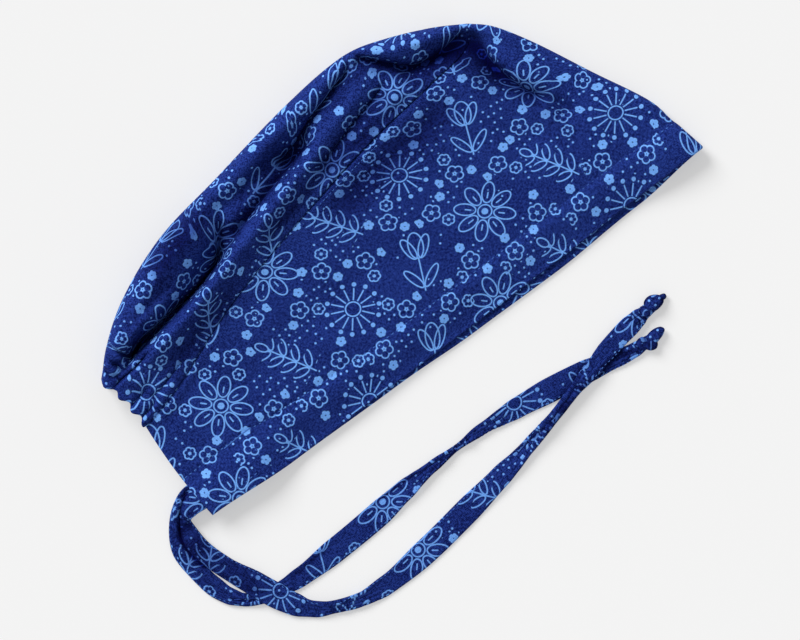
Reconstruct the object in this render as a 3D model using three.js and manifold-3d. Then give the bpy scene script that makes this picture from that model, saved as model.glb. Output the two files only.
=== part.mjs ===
// A cotton scrub cap lying flat on its side: a side band folded round the forehead, a crown panel
// folded along its top and gathered at the nape, and two knotted ties that leave the hem's casing.
// Millimetres, +Z up. X runs along the hem from nape to forehead, Y from the hem to the crown.
// The origin is the middle of the folded hem, on the surface that the cap lies on.

import * as THREE from 'three';
import { mergeVertices } from 'three/addons/utils/BufferGeometryUtils.js';
import Module from 'manifold-3d';

const wasm = await Module();
wasm.setup();

const hemLength = 269; // folded hem, nape corner to forehead tip
const crownHeight = 126.7; // hem to the highest point of the folded crown
const clothWall = 1; // one wall of the cap
const casingWall = 1.7; // the hem, where the cloth is turned in and stitched
const casingDepth = 18.5; // hem edge to the stitching of the casing
const casingPuff = 1.1; // how far the empty casing swells
const crownLoft = 14; // upper wall over lower wall at the middle of the crown
const frontLoft = 8; // the same beside the forehead fold
const backBow = 1.3; // how far the band's cut end bows out
const gatherDepth = 1.9; // height of the gathers at the nape
const gatherReach = 17; // length over which the gathers die out
const gatherCount = 3.5; // gathers on each side of the crown fold
const gatherEdge = 1 / 6; // share of the crown's side over which they lift the cloth
const gatherSway = 0.6; // how far they move its edge sideways, over their height
const turnReach = 0.55; // how far in from the outline the cloth turns, as a share of the loft
const tieLength = 300; // each tie, from the end of the hem to its knot
const tieWidth = 12.3;
const tieWall = 1.3; // four layers of cloth, pressed
const tieTuck = 12; // how far each tie reaches into the casing's end
const knotRadius = 2.5; // of the turn of cloth in a knot, to the middle of the rolled cloth
const knotCordRadius = 1.55; // of the rolled cloth in that turn
const knotFlattening = 0.72; // height of a knot as it lies, over its width
const nearKnotLean = 12; // degrees that the turn of each knot leans
const farKnotLean = -14;
const clearance = 0.3; // between neighbouring pieces
const mouthSlack = 2.1; // room left in the mouth beside the two tucked ties

const mouthClear = 2 * tieWall + 3 * clearance + mouthSlack;
const hemLoft = mouthClear + casingWall;

// Outlines. along is a share of hemLength from the nape, rise a share of crownHeight from the hem.
const crownFold = [
  { along: -0.017, rise: 0.603 },
  { along: 0.022, rise: 0.679 },
  { along: 0.089, rise: 0.777 },
  { along: 0.2, rise: 0.874 },
  { along: 0.335, rise: 0.925 },
  { along: 0.483, rise: 0.978 },
  { along: 0.585, rise: 1 },
  { along: 0.636, rise: 0.996 },
  { along: 0.688, rise: 0.963 },
  { along: 0.762, rise: 0.896 },
  { along: 0.814, rise: 0.833 },
];
const foreheadFold = [
  { along: 0.814, rise: 0.833 },
  { along: 0.842, rise: 0.779 },
  { along: 0.877, rise: 0.663 },
  { along: 0.929, rise: 0.442 },
  { along: 0.979, rise: 0.226 },
  { along: 0.986, rise: 0.146 },
  { along: 1, rise: 0 },
];
const seamLine = [
  { along: 0, rise: 0.387 },
  { along: 0.074, rise: 0.426 },
  { along: 0.223, rise: 0.541 },
  { along: 0.372, rise: 0.624 },
  { along: 0.558, rise: 0.702 },
  { along: 0.706, rise: 0.742 },
  { along: 0.773, rise: 0.758 },
  { along: 0.799, rise: 0.783 },
  { along: 0.814, rise: 0.833 },
];

// How far each layer's hem hangs below the line between its ends, as shares of casingDepth.
const hemSag = [
  { along: 0, near: 0, far: 0 },
  { along: 0.16, near: 0.13, far: 0.13 },
  { along: 0.37, near: 0.1, far: 0.17 },
  { along: 0.52, near: 0.1, far: 0.25 },
  { along: 0.69, near: 0.08, far: 0.27 },
  { along: 0.86, near: 0.02, far: 0.17 },
  { along: 1, near: 0, far: 0 },
];

// Folds of the upper wall. Each runs from one place to another, as shares of hemLength and
// crownHeight, and bows sideways by bow. lift is up or down, as a share of crownLoft, and
// spread is its half width, as a share of crownHeight.
const folds = [
  // roll of cloth along the crown's fold, and the deep crease under it
  { along: 0.03, rise: 0.66, toAlong: 0.24, toRise: 0.82, bow: 0.02, lift: 0.34, spread: 0.075 },
  { along: 0.03, rise: 0.6, toAlong: 0.265, toRise: 0.718, bow: -0.012, lift: -0.5, spread: 0.036 },
  { along: 0.29, rise: 0.765, toAlong: 0.31, toRise: 0.83, bow: 0, lift: -0.16, spread: 0.045 },
  // long ridge from the gathers over the crown's side, and the crease above it
  { along: 0.03, rise: 0.57, toAlong: 0.48, toRise: 0.785, bow: -0.018, lift: 0.3, spread: 0.04 },
  { along: 0.31, rise: 0.718, toAlong: 0.48, toRise: 0.822, bow: 0, lift: -0.18, spread: 0.034 },
  // soft valley and edge of the roll towards the top
  { along: 0.32, rise: 0.83, toAlong: 0.48, toRise: 0.868, bow: 0, lift: -0.2, spread: 0.045 },
  { along: 0.45, rise: 0.855, toAlong: 0.63, toRise: 0.975, bow: 0, lift: -0.2, spread: 0.036 },
  { along: 0.45, rise: 0.738, toAlong: 0.65, toRise: 0.86, bow: 0, lift: -0.14, spread: 0.042 },
  // creases that turn down at the front of the crown
  { along: 0.65, rise: 0.93, toAlong: 0.69, toRise: 0.84, bow: 0, lift: -0.24, spread: 0.036 },
  { along: 0.69, rise: 0.835, toAlong: 0.8, toRise: 0.81, bow: 0, lift: -0.2, spread: 0.036 },
  // upright crease behind the forehead, the hollow behind it and the facet before it
  { along: 0.812, rise: 0.78, toAlong: 0.862, toRise: 0.395, bow: 0.045, lift: -0.2, spread: 0.036 },
  { along: 0.8, rise: 0.79, toAlong: 0.79, toRise: 0.4, bow: 0, lift: -0.12, spread: 0.06 },
  { along: 0.85, rise: 0.68, toAlong: 0.9, toRise: 0.32, bow: 0, lift: 0.12, spread: 0.07 },
];

// The ties. ahead and aside are shares of tieLength from the middle of the casing's cut end, along
// X and Y. width and wall are shares of tieWidth and tieWall, roll is in degrees about the run.
// inside is 1 in the casing and 0 on the surface, over is 1 where the tie lies on the other one.
const nearNeck = { ahead: 0.687, aside: -0.172, width: 0.36, wall: 2.2, roll: 0, inside: 0, over: 0.4 };
const nearTie = [
  { ahead: tieTuck / tieLength, aside: 0, width: 0.87, wall: 1, roll: 0, inside: 1, over: 0 },
  { ahead: 0, aside: 0, width: 0.86, wall: 1, roll: 0, inside: 1, over: 0 },
  { ahead: -0.018, aside: -0.003, width: 0.8, wall: 1, roll: 0, inside: 0.75, over: 0.3 },
  { ahead: -0.032, aside: -0.013, width: 0.74, wall: 1.1, roll: 0, inside: 0.3, over: 1 },
  { ahead: -0.042, aside: -0.028, width: 0.71, wall: 1.1, roll: 0, inside: 0, over: 1.05 },
  { ahead: -0.044, aside: -0.061, width: 0.76, wall: 1, roll: 0, inside: 0, over: 1.05 },
  { ahead: -0.032, aside: -0.103, width: 0.76, wall: 1, roll: 0, inside: 0, over: 1.05 },
  { ahead: -0.011, aside: -0.149, width: 0.9, wall: 1, roll: 0, inside: 0, over: 1.2 },
  { ahead: 0.002, aside: -0.179, width: 0.92, wall: 1, roll: 0, inside: 0, over: 1.2 },
  { ahead: 0.016, aside: -0.206, width: 0.84, wall: 1, roll: 6, inside: 0, over: 0.5 },
  { ahead: 0.035, aside: -0.23, width: 0.62, wall: 1.2, roll: 20, inside: 0, over: 0 },
  { ahead: 0.062, aside: -0.246, width: 0.36, wall: 2, roll: 35, inside: 0, over: 0 },
  { ahead: 0.098, aside: -0.26, width: 0.48, wall: 1.6, roll: 20, inside: 0, over: 0 },
  { ahead: 0.14, aside: -0.266, width: 0.72, wall: 1, roll: 8, inside: 0, over: 0 },
  { ahead: 0.22, aside: -0.261, width: 0.92, wall: 1, roll: 0, inside: 0, over: 0 },
  { ahead: 0.3, aside: -0.25, width: 0.93, wall: 1, roll: 0, inside: 0, over: 0 },
  { ahead: 0.37, aside: -0.24, width: 0.8, wall: 1, roll: -6, inside: 0, over: 0 },
  { ahead: 0.43, aside: -0.228, width: 0.5, wall: 1.4, roll: -25, inside: 0, over: 0 },
  { ahead: 0.49, aside: -0.215, width: 0.3, wall: 2.2, roll: -30, inside: 0, over: 0.8 },
  { ahead: 0.53, aside: -0.205, width: 0.33, wall: 2.2, roll: -20, inside: 0, over: 1.05 },
  { ahead: 0.573, aside: -0.194, width: 0.56, wall: 1.4, roll: -8, inside: 0, over: 1.05 },
  { ahead: 0.613, aside: -0.184, width: 0.67, wall: 1, roll: 0, inside: 0, over: 1.05 },
  { ahead: 0.653, aside: -0.178, width: 0.78, wall: 1, roll: 0, inside: 0, over: 1.05 },
  { ahead: 0.674, aside: -0.174, width: 0.66, wall: 1.2, roll: 0, inside: 0, over: 0.8 },
  nearNeck,
  { ahead: 0.7, aside: -0.168, width: 0.54, wall: 2.6, roll: 0, inside: 0, over: 0 },
  { ahead: 0.712, aside: -0.169, width: 0.46, wall: 2.2, roll: 0, inside: 0, over: 0 },
  { ahead: 0.725, aside: -0.17, width: 0.16, wall: 1, roll: 0, inside: 0, over: 0 },
];
const farNeck = { ahead: 0.66, aside: -0.209, width: 0.34, wall: 2.2, roll: 0, inside: 0, over: 0 };
const farTie = [
  { ahead: tieTuck / tieLength, aside: 0.004, width: 0.8, wall: 1, roll: 0, inside: 1, over: 0 },
  { ahead: -0.008, aside: 0.011, width: 0.76, wall: 1, roll: 0, inside: 1, over: 0 },
  { ahead: -0.026, aside: 0.003, width: 0.72, wall: 1, roll: 0, inside: 0.6, over: 0 },
  { ahead: -0.048, aside: -0.016, width: 0.7, wall: 1, roll: 0, inside: 0, over: 0 },
  { ahead: -0.066, aside: -0.045, width: 0.7, wall: 1, roll: 0, inside: 0, over: 0 },
  { ahead: -0.067, aside: -0.083, width: 0.66, wall: 1, roll: 0, inside: 0, over: 0 },
  { ahead: -0.06, aside: -0.125, width: 0.62, wall: 1, roll: 0, inside: 0, over: 0 },
  { ahead: -0.045, aside: -0.153, width: 0.46, wall: 1.15, roll: 0, inside: 0, over: 0 },
  { ahead: -0.024, aside: -0.169, width: 0.36, wall: 1.25, roll: 0, inside: 0, over: 0 },
  { ahead: 0.007, aside: -0.177, width: 0.5, wall: 1.1, roll: 0, inside: 0, over: 0 },
  { ahead: 0.05, aside: -0.181, width: 0.72, wall: 1, roll: 6, inside: 0, over: 0 },
  { ahead: 0.113, aside: -0.18, width: 0.9, wall: 1, roll: 4, inside: 0, over: 0 },
  { ahead: 0.193, aside: -0.176, width: 0.92, wall: 1, roll: 0, inside: 0, over: 0 },
  { ahead: 0.245, aside: -0.171, width: 0.78, wall: 1, roll: -10, inside: 0, over: 0 },
  { ahead: 0.3, aside: -0.167, width: 0.42, wall: 1.6, roll: -30, inside: 0, over: 0 },
  { ahead: 0.345, aside: -0.166, width: 0.26, wall: 2.4, roll: -30, inside: 0, over: 0 },
  { ahead: 0.393, aside: -0.166, width: 0.44, wall: 1.6, roll: 20, inside: 0, over: 0 },
  { ahead: 0.453, aside: -0.173, width: 0.76, wall: 1, roll: 5, inside: 0, over: 0 },
  { ahead: 0.507, aside: -0.181, width: 0.9, wall: 1, roll: 0, inside: 0, over: 0 },
  { ahead: 0.56, aside: -0.19, width: 0.88, wall: 1, roll: 0, inside: 0, over: 0 },
  { ahead: 0.613, aside: -0.202, width: 0.68, wall: 1, roll: 0, inside: 0, over: 0 },
  { ahead: 0.645, aside: -0.208, width: 0.46, wall: 1.6, roll: 0, inside: 0, over: 0 },
  farNeck,
  { ahead: 0.671, aside: -0.211, width: 0.52, wall: 2.4, roll: 0, inside: 0, over: 0 },
  { ahead: 0.682, aside: -0.209, width: 0.4, wall: 1.8, roll: 0, inside: 0, over: 0 },
  { ahead: 0.692, aside: -0.208, width: 0.14, wall: 1, roll: 0, inside: 0, over: 0 },
];

// Numbers of steps in the meshes
const wallColumns = 30;
const columnCrowding = 1.15; // over 1 draws the columns towards the nape
const upperRows = 15;
const lowerRows = 4;
const turnAngles = [90, 62, 38, 18]; // degrees round the fold, from the flat wall to its edge
const casingShares = [0, 0.1, 0.4, 0.72, 0.94, 1.06]; // rows of the band across the casing
const bandRows = 7; // rows of the band between the casing and the seam
const tieSteps = 74;

const radians = THREE.MathUtils.degToRad;
const mix = THREE.MathUtils.lerp;
const smooth = THREE.MathUtils.smoothstep;

// Curves in the plane of the folded cap

function planCurve(rows) {
  const points = rows.map((r) => new THREE.Vector3(r.along * hemLength, r.rise * crownHeight, 0));
  return new THREE.CatmullRomCurve3(points, false, 'centripetal');
}
const crownCurve = planCurve(crownFold);
const foreheadCurve = planCurve(foreheadFold);
const seamCurve = planCurve(seamLine);
const outline = [...crownCurve.getSpacedPoints(60), ...foreheadCurve.getSpacedPoints(40).slice(1)];

function distanceToLine(x, y, points) {
  let nearest = Infinity;
  for (let i = 1; i < points.length; i += 1) {
    const a = points[i - 1];
    const dx = points[i].x - a.x;
    const dy = points[i].y - a.y;
    const t = THREE.MathUtils.clamp(((x - a.x) * dx + (y - a.y) * dy) / (dx * dx + dy * dy), 0, 1);
    nearest = Math.min(nearest, Math.hypot(x - a.x - dx * t, y - a.y - dy * t));
  }
  return nearest;
}

// A column of a table at a place along it, easing from row to row
function tableValue(rows, key, at, column) {
  const next = Math.max(1, rows.findIndex((r) => r[key] >= at));
  const a = rows[next - 1];
  const b = rows[next];
  return mix(a[column], b[column], smooth(at, a[key], b[key]));
}

// Height of the upper wall over the lower one

const foldLines = folds.map((f) => {
  const start = new THREE.Vector3(f.along * hemLength, f.rise * crownHeight, 0);
  const end = new THREE.Vector3(f.toAlong * hemLength, f.toRise * crownHeight, 0);
  const run = end.clone().sub(start);
  const aside = new THREE.Vector3(-run.y, run.x, 0).setLength(2 * f.bow * crownHeight);
  const middle = start.clone().lerp(end, 0.5).add(aside);
  return {
    points: new THREE.QuadraticBezierCurve3(start, middle, end).getPoints(8),
    lift: f.lift * crownLoft,
    spread: f.spread * crownHeight,
  };
});

function loftAt(x, y) {
  const towardsCrown = smooth(y / crownHeight, 0.08, 0.72);
  const towardsForehead = smooth(x / hemLength, 0.62, 0.9);
  const middle = mix(crownLoft, frontLoft, towardsForehead);
  let loft = mix(hemLoft, middle, towardsCrown);
  loft += casingPuff * Math.sin(Math.PI * THREE.MathUtils.clamp(y / casingDepth, 0, 1));
  for (const fold of foldLines) {
    const away = distanceToLine(x, y, fold.points) / fold.spread;
    if (away < 3) loft += fold.lift * Math.exp(-away * away);
  }
  return loft;
}

// 0 on the outline, 1 where the walls lie flat
function turnAt(x, y, loft) {
  const inward = Math.min(1, distanceToLine(x, y, outline) / (turnReach * loft));
  return Math.sqrt(Math.max(0, 1 - (1 - inward) ** 2));
}

function wallPoint(x, y, side, wall, ripple = 0) {
  const loft = loftAt(x, y);
  const turn = turnAt(x, y, loft);
  const height = loft * (0.5 + 0.5 * side * turn);
  return new THREE.Vector3(x, y, wall / 2 + height + ripple * turn);
}

// Closed meshes from a grid of paired points, outer and inner

function closedSheet(grid) {
  const columns = grid.length;
  const rows = grid[0].length;
  const positions = [];
  grid.forEach((column) => column.forEach((p) => positions.push(...p.outer.toArray())));
  grid.forEach((column) => column.forEach((p) => positions.push(...p.inner.toArray())));
  const outer = (i, j) => i * rows + j;
  const inner = (i, j) => columns * rows + i * rows + j;
  const index = [];
  const quad = (a, b, c, d) => index.push(a, b, c, a, c, d);
  for (let i = 0; i + 1 < columns; i += 1) {
    for (let j = 0; j + 1 < rows; j += 1) {
      quad(outer(i, j), outer(i + 1, j), outer(i + 1, j + 1), outer(i, j + 1));
      quad(inner(i, j), inner(i, j + 1), inner(i + 1, j + 1), inner(i + 1, j));
    }
    quad(outer(i, 0), inner(i, 0), inner(i + 1, 0), outer(i + 1, 0));
    const last = rows - 1;
    quad(outer(i, last), outer(i + 1, last), inner(i + 1, last), inner(i, last));
  }
  for (let j = 0; j + 1 < rows; j += 1) {
    const last = columns - 1;
    quad(outer(0, j), outer(0, j + 1), inner(0, j + 1), inner(0, j));
    quad(outer(last, j), inner(last, j), inner(last, j + 1), outer(last, j + 1));
  }
  const geometry = new THREE.BufferGeometry();
  geometry.setAttribute('position', new THREE.Float32BufferAttribute(positions, 3));
  geometry.setIndex(index);
  return geometry;
}

// Gives a grid of middle points its thickness along the cloth's own normals
function thicken(middles, wallAt) {
  const columns = middles.length;
  const rows = middles[0].length;
  return middles.map((column, i) => column.map((p, j) => {
    const alongRun = middles[Math.min(i + 1, columns - 1)][j].clone()
      .sub(middles[Math.max(i - 1, 0)][j]);
    const acrossRun = middles[i][Math.min(j + 1, rows - 1)].clone()
      .sub(middles[i][Math.max(j - 1, 0)]);
    const half = alongRun.cross(acrossRun).setLength(wallAt(i, j) / 2);
    return { outer: p.clone().add(half), inner: p.clone().sub(half) };
  }));
}

// Steps that both walls share

function foldShares(foldPoint, length) {
  const turn = turnReach * loftAt(foldPoint.x, foldPoint.y);
  const reach = Math.min(turn, 0.8 * length) / length;
  return turnAngles.map((angle) => 1 - reach * (1 - Math.cos(radians(angle))));
}

const seamLength = seamCurve.getLength();
const kink = crownCurve.getPoint(1);
const kinkShares = foldShares(kink, seamLength);
const columnShares = Array.from({ length: wallColumns }, (_, k) => (k / wallColumns) ** columnCrowding);
const seamShares = [...columnShares.map((s) => s * kinkShares[0]), ...kinkShares];

function seamPoint(share, towardsCrown) {
  const p = seamCurve.getPointAt(share);
  const run = seamCurve.getTangentAt(share);
  const shift = (towardsCrown * clearance) / 2;
  return new THREE.Vector3(p.x - run.y * shift, p.y + run.x * shift, 0);
}

// Crown panel: rows run from the near seam over the fold to the far seam

function crownRows(length, foldPoint) {
  const turns = foldShares(foldPoint, length);
  const flat = (count) => Array.from({ length: count }, (_, k) => (k / count) * turns[0]);
  return {
    near: [...flat(upperRows), ...turns],
    far: [...flat(lowerRows), ...turns].reverse(),
  };
}

const gatherStart = 0.18; // share of a gather that lies under the seam
const edgeHollow = 2; // power by which the gathered edge draws in under its upper corner

function crownColumn(share) {
  const seam = seamPoint(share, 1);
  const fold = crownCurve.getPointAt(share);
  const length = Math.hypot(fold.x - seam.x, fold.y - seam.y);
  const drawnIn = (fold.x - seam.x) * Math.exp((-share * hemLength) / gatherReach);
  const place = (across, side) => {
    const x = mix(seam.x, fold.x, across) - drawnIn * (across - across ** (1 + edgeHollow));
    const y = mix(seam.y, fold.y, across);
    const fade = Math.exp(-Math.max(0, x) / gatherReach);
    const wave = Math.sin(2 * Math.PI * (gatherCount * across + gatherStart));
    const lift = gatherDepth * fade * Math.sin(Math.PI * Math.min(1, across / gatherEdge));
    const ripple = side > 0 ? lift * wave : (lift * (1 + wave)) / 4;
    const point = wallPoint(x, y, side, clothWall, ripple);
    point.x -= gatherSway * gatherDepth * fade * fade * wave;
    return point;
  };
  const rows = crownRows(length, fold);
  return [
    ...rows.near.map((across) => place(across, 1)),
    place(1, 0),
    ...rows.far.map((across) => place(across, -1)),
  ];
}

function crownPanel() {
  const shares = seamShares.slice(0, -1);
  return closedSheet(thicken(shares.map(crownColumn), () => clothWall));
}

// Side band: columns run from the near cut end round the forehead fold to the far cut end

function hemPoint(share, side) {
  const sag = tableValue(hemSag, 'along', share, side > 0 ? 'near' : 'far');
  return new THREE.Vector3(share * hemLength, -sag * casingDepth, 0);
}

function pointAtRise(curve, y) {
  let low = 0;
  let high = 1;
  for (let k = 0; k < 30; k += 1) {
    const middle = (low + high) / 2;
    if (curve.getPointAt(middle).y > y) low = middle;
    else high = middle;
  }
  return (low + high) / 2;
}
const casingOnFold = pointAtRise(foreheadCurve, casingDepth);

function cutEnd(y) {
  const top = seamPoint(0, -1).y;
  const bow = backBow * Math.sin(Math.PI * THREE.MathUtils.clamp(y / top, 0, 1));
  return new THREE.Vector3(-bow, y, 0);
}

// A patch between four edges. left and right run from bottom to top.
function patch(bottom, top, left, right, u, v) {
  const p = bottom(u).multiplyScalar(1 - v).addScaledVector(top(u), v);
  p.addScaledVector(left(v), 1 - u).addScaledVector(right(v), u);
  p.addScaledVector(bottom(0), -(1 - u) * (1 - v)).addScaledVector(bottom(1), -u * (1 - v));
  return p.addScaledVector(top(0), -(1 - u) * v).addScaledVector(top(1), -u * v);
}

function casingEdge(u) {
  const back = cutEnd(casingDepth);
  return back.lerp(foreheadCurve.getPointAt(casingOnFold), u);
}

function bandPoint(row, u, side) {
  if (row.casing) {
    const left = (v) => cutEnd(v * casingDepth);
    const right = (v) => foreheadCurve.getPointAt(mix(1, casingOnFold, v));
    return patch((t) => hemPoint(t, side), casingEdge, left, right, u, row.share);
  }
  const top = (t) => seamPoint(t, -1);
  const left = (v) => cutEnd(mix(casingDepth, seamPoint(0, -1).y, v));
  const right = (v) => (v < 1 ? foreheadCurve.getPointAt(mix(casingOnFold, 0, v)) : seamPoint(1, -1));
  return patch(casingEdge, top, left, right, u, row.share);
}

function bandRowList() {
  const inCasing = casingShares.slice(0, -1).map((share) => ({ casing: true, share }));
  const first = (casingShares.at(-1) - 1) * casingDepth / (seamPoint(0, -1).y - casingDepth);
  const above = Array.from({ length: bandRows }, (_, k) => {
    return { casing: false, share: mix(first, 1, k / (bandRows - 1)) };
  });
  return [...inCasing, ...above];
}

function rowShares(row) {
  const fold = bandPoint(row, 1, 1);
  const length = row.share === 1 && !row.casing ? seamLength : fold.x;
  const turns = foldShares(fold, length);
  return [...columnShares.map((s) => s * turns[0]), ...turns];
}

function sideBand() {
  const rows = bandRowList();
  const wallOf = (row) => (row.casing ? casingWall : clothWall);
  const lines = rows.map((row) => {
    const shares = rowShares(row);
    const place = (side) => (u) => {
      const p = bandPoint(row, u, side);
      return wallPoint(p.x, p.y, side, wallOf(row));
    };
    const edge = bandPoint(row, 1, 1);
    return [
      ...shares.map(place(1)),
      wallPoint(edge.x, edge.y, 0, wallOf(row)),
      ...shares.toReversed().map(place(-1)),
    ];
  });
  const columns = lines[0].map((_, i) => lines.map((line) => line[i]));
  return closedSheet(thicken(columns, (i, j) => wallOf(rows[j])));
}

// Ties: flat straps with cut corners, knotted at the free end

function tieSection(width, wall) {
  const cut = wall / 3;
  return [
    { across: width / 2, up: wall / 6 },
    { across: width / 2 - cut, up: wall / 2 },
    { across: cut - width / 2, up: wall / 2 },
    { across: -width / 2, up: wall / 6 },
  ];
}

function tiePlace(row) {
  return new THREE.Vector3(row.ahead * tieLength, casingDepth / 2 + row.aside * tieLength, 0);
}

function tie(rows, insideHeight) {
  const route = new THREE.CatmullRomCurve3(
    rows.map(tiePlace),
    false,
    'centripetal',
  );
  const grid = Array.from({ length: tieSteps + 1 }, (_, k) => {
    const t = k / tieSteps;
    const from = Math.min(rows.length - 2, Math.floor(t * (rows.length - 1)));
    const ease = smooth(t * (rows.length - 1) - from, 0, 1);
    const value = (column) => mix(rows[from][column], rows[from + 1][column], ease);
    const width = value('width') * tieWidth;
    const wall = value('wall') * tieWall;
    const roll = radians(value('roll'));
    const run = route.getTangent(t);
    const left = new THREE.Vector3(-run.y * Math.cos(roll), run.x * Math.cos(roll), Math.sin(roll));
    const up = run.clone().cross(left);
    const rest = (width / 2) * Math.abs(Math.sin(roll)) + (wall / 2) * Math.cos(roll);
    const lift = value('inside') * insideHeight + value('over') * (tieWall + clearance);
    const middle = route.getPoint(t);
    middle.z = rest + lift;
    return tieSection(width, wall).map((corner) => ({
      outer: middle.clone().addScaledVector(left, -corner.across).addScaledVector(up, corner.up),
      inner: middle.clone().addScaledVector(left, -corner.across).addScaledVector(up, -corner.up),
    }));
  });
  return closedSheet(grid);
}

function solid(geometry) {
  const plain = geometry.clone();
  plain.deleteAttribute('normal');
  plain.deleteAttribute('uv');
  const merged = mergeVertices(plain, 1e-4);
  return new wasm.Manifold(new wasm.Mesh({
    numProp: 3,
    vertProperties: new Float32Array(merged.attributes.position.array),
    triVerts: new Uint32Array(merged.index.array),
  }));
}

function geometryOf(manifold) {
  const mesh = manifold.getMesh();
  const geometry = new THREE.BufferGeometry();
  geometry.setAttribute('position', new THREE.Float32BufferAttribute(mesh.vertProperties, 3));
  geometry.setIndex(Array.from(mesh.triVerts));
  return geometry;
}

// A tie with the turn of its knot wound round the neck before its end
function knottedTie(rows, insideHeight, neck, lean) {
  const turn = new THREE.TorusGeometry(knotRadius, knotCordRadius, 8, 14);
  turn.rotateY(Math.PI / 2);
  turn.rotateZ(radians(lean));
  turn.translate(0, 0, knotRadius + knotCordRadius);
  turn.scale(1, 1, knotFlattening);
  const place = tiePlace(neck);
  turn.translate(place.x, place.y, 0);
  return geometryOf(solid(tie(rows, insideHeight)).add(solid(turn)));
}

function cloth(name, geometry, color) {
  geometry.computeVertexNormals();
  const mesh = new THREE.Mesh(
    geometry,
    new THREE.MeshStandardMaterial({ color, roughness: 0.9, metalness: 0 }),
  );
  mesh.name = name;
  return mesh;
}

const farInside = casingWall + clearance;
const nearInside = casingWall + mouthClear - clearance - tieWall;

const cap = new THREE.Group();
cap.position.x = -hemLength / 2;
cap.add(
  cloth('crown_panel', crownPanel(), 0x22317e),
  cloth('side_band', sideBand(), 0x1f2d78),
  cloth('tie_near', knottedTie(nearTie, nearInside, nearNeck, nearKnotLean), 0x24347f),
  cloth('tie_far', knottedTie(farTie, farInside, farNeck, farKnotLean), 0x202e76),
);

export default cap;
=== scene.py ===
# A cotton scrub cap lying on a pale table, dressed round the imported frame.
# The cap's plan is in millimetres: x along the hem from the nape, y up to the crown, z off the
# table. toFrame puts finished points in the frame's own axes, in metres.

import math

import bpy
import numpy as np
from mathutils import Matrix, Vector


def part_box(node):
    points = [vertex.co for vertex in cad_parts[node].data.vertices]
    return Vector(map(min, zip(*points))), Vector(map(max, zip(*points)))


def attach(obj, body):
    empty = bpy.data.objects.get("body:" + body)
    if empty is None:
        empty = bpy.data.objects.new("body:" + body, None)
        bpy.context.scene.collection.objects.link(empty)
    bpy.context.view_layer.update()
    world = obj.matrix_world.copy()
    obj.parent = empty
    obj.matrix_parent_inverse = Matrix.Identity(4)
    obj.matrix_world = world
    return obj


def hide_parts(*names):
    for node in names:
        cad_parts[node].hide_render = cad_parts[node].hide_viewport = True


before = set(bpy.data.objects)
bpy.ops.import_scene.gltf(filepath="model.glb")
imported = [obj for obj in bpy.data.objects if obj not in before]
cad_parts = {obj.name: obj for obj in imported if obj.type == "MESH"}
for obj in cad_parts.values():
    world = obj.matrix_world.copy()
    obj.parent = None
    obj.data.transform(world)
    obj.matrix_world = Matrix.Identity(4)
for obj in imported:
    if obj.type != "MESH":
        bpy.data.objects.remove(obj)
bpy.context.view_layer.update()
mm = 0.001

cap = {
    "clothWall": 1.0,
    "casingWall": 1.7,
    "casingDepth": 18.5,  # hem edge to the stitching of the casing
    "casingPuff": 1.1,
    "hemLoft": 7.3,  # upper wall over lower wall
    "crownLoft": 14.0,
    "frontLoft": 8.0,
    "frontReach": (0.62, 0.9),  # share of the hem over which the crown's loft goes over to it
    "loftReach": (0.08, 0.72),  # share of the height over which the hem's loft goes over to theirs
    "backBow": 1.3,
    "turnReach": 0.55,  # where the cloth turns over, as a share of the loft
    "seamLap": 1.6,  # band cloth turned in under the crown's edge
    "seamDrop": 1.15,
    "seamRoll": 1.9,  # how far the crown stands over the seam
    "seamRollReach": 2.6,
    "leastLoft": 1.8,
}

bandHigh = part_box("side_band")[1] / mm
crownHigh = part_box("crown_panel")[1] / mm
hemLength = 2 * bandHigh.x - cap["casingWall"]
crownHeight = crownHigh.y - cap["clothWall"] / 2


def inScene(name, data):
    made = bpy.data.objects.new(name, data)
    bpy.context.collection.objects.link(made)
    return made


def toFrame(points):
    return (points - np.array([hemLength / 2, 0, 0])) * mm


# Camera and light

view = {
    "centre": (-17.2, 19.35),  # plan point under the camera, from the middle of the hem
    "frameWidth": 352.0,
    "roll": -36.83,
    "lens": 250.0,
    "focusHeight": 4.0,
    "clipEnd": 30.0,
}


def placeCamera():
    lens = bpy.data.cameras.new("flatLayCamera")
    lens.lens = view["lens"]
    lens.clip_end = view["clipEnd"]
    camera = inScene("flatLayCamera", lens)
    height = view["frameWidth"] * view["lens"] / lens.sensor_width + view["focusHeight"]
    camera.location = (view["centre"][0] * mm, view["centre"][1] * mm, height * mm)
    camera.rotation_euler = (0, 0, math.radians(view["roll"]))
    bpy.context.scene.camera = camera


studio = {
    "sky": (1.0, 1.0, 1.0),
    "skyStrength": 0.45,
    "sunStrength": 3.05,
    "sunAngle": 32.0,
    "sunTilt": 54.0,  # degrees off the vertical, towards the crown's side
    "sunTurn": 8.0,
    "table": 0.49,
    "tableGlow": 0.4,  # keeps the cap's own shadow as faint as on a light table
    "tableSize": 6.0,
}


def placeLights():
    world = bpy.data.worlds.new("paleRoom")
    world.use_nodes = True
    sky = {"Color": (*studio["sky"], 1), "Strength": studio["skyStrength"]}
    feed(world.node_tree.nodes["Background"], sky)
    bpy.context.scene.world = world
    sun = bpy.data.lights.new("windowLight", "SUN")
    sun.energy = studio["sunStrength"]
    sun.angle = math.radians(studio["sunAngle"])
    lamp = inScene("windowLight", sun)
    lamp.rotation_euler = (-math.radians(studio["sunTilt"]), 0, math.radians(studio["sunTurn"]))
    bpy.context.scene.view_settings.view_transform = "Standard"


# Rows of the tables, plan curves and noise

def named(columns, rows, usual=None):
    # Rows as dictionaries; a row may stop early where the rest is as usual
    return [{**(usual or {}), **dict(zip(columns, row))} for row in rows]


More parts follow.
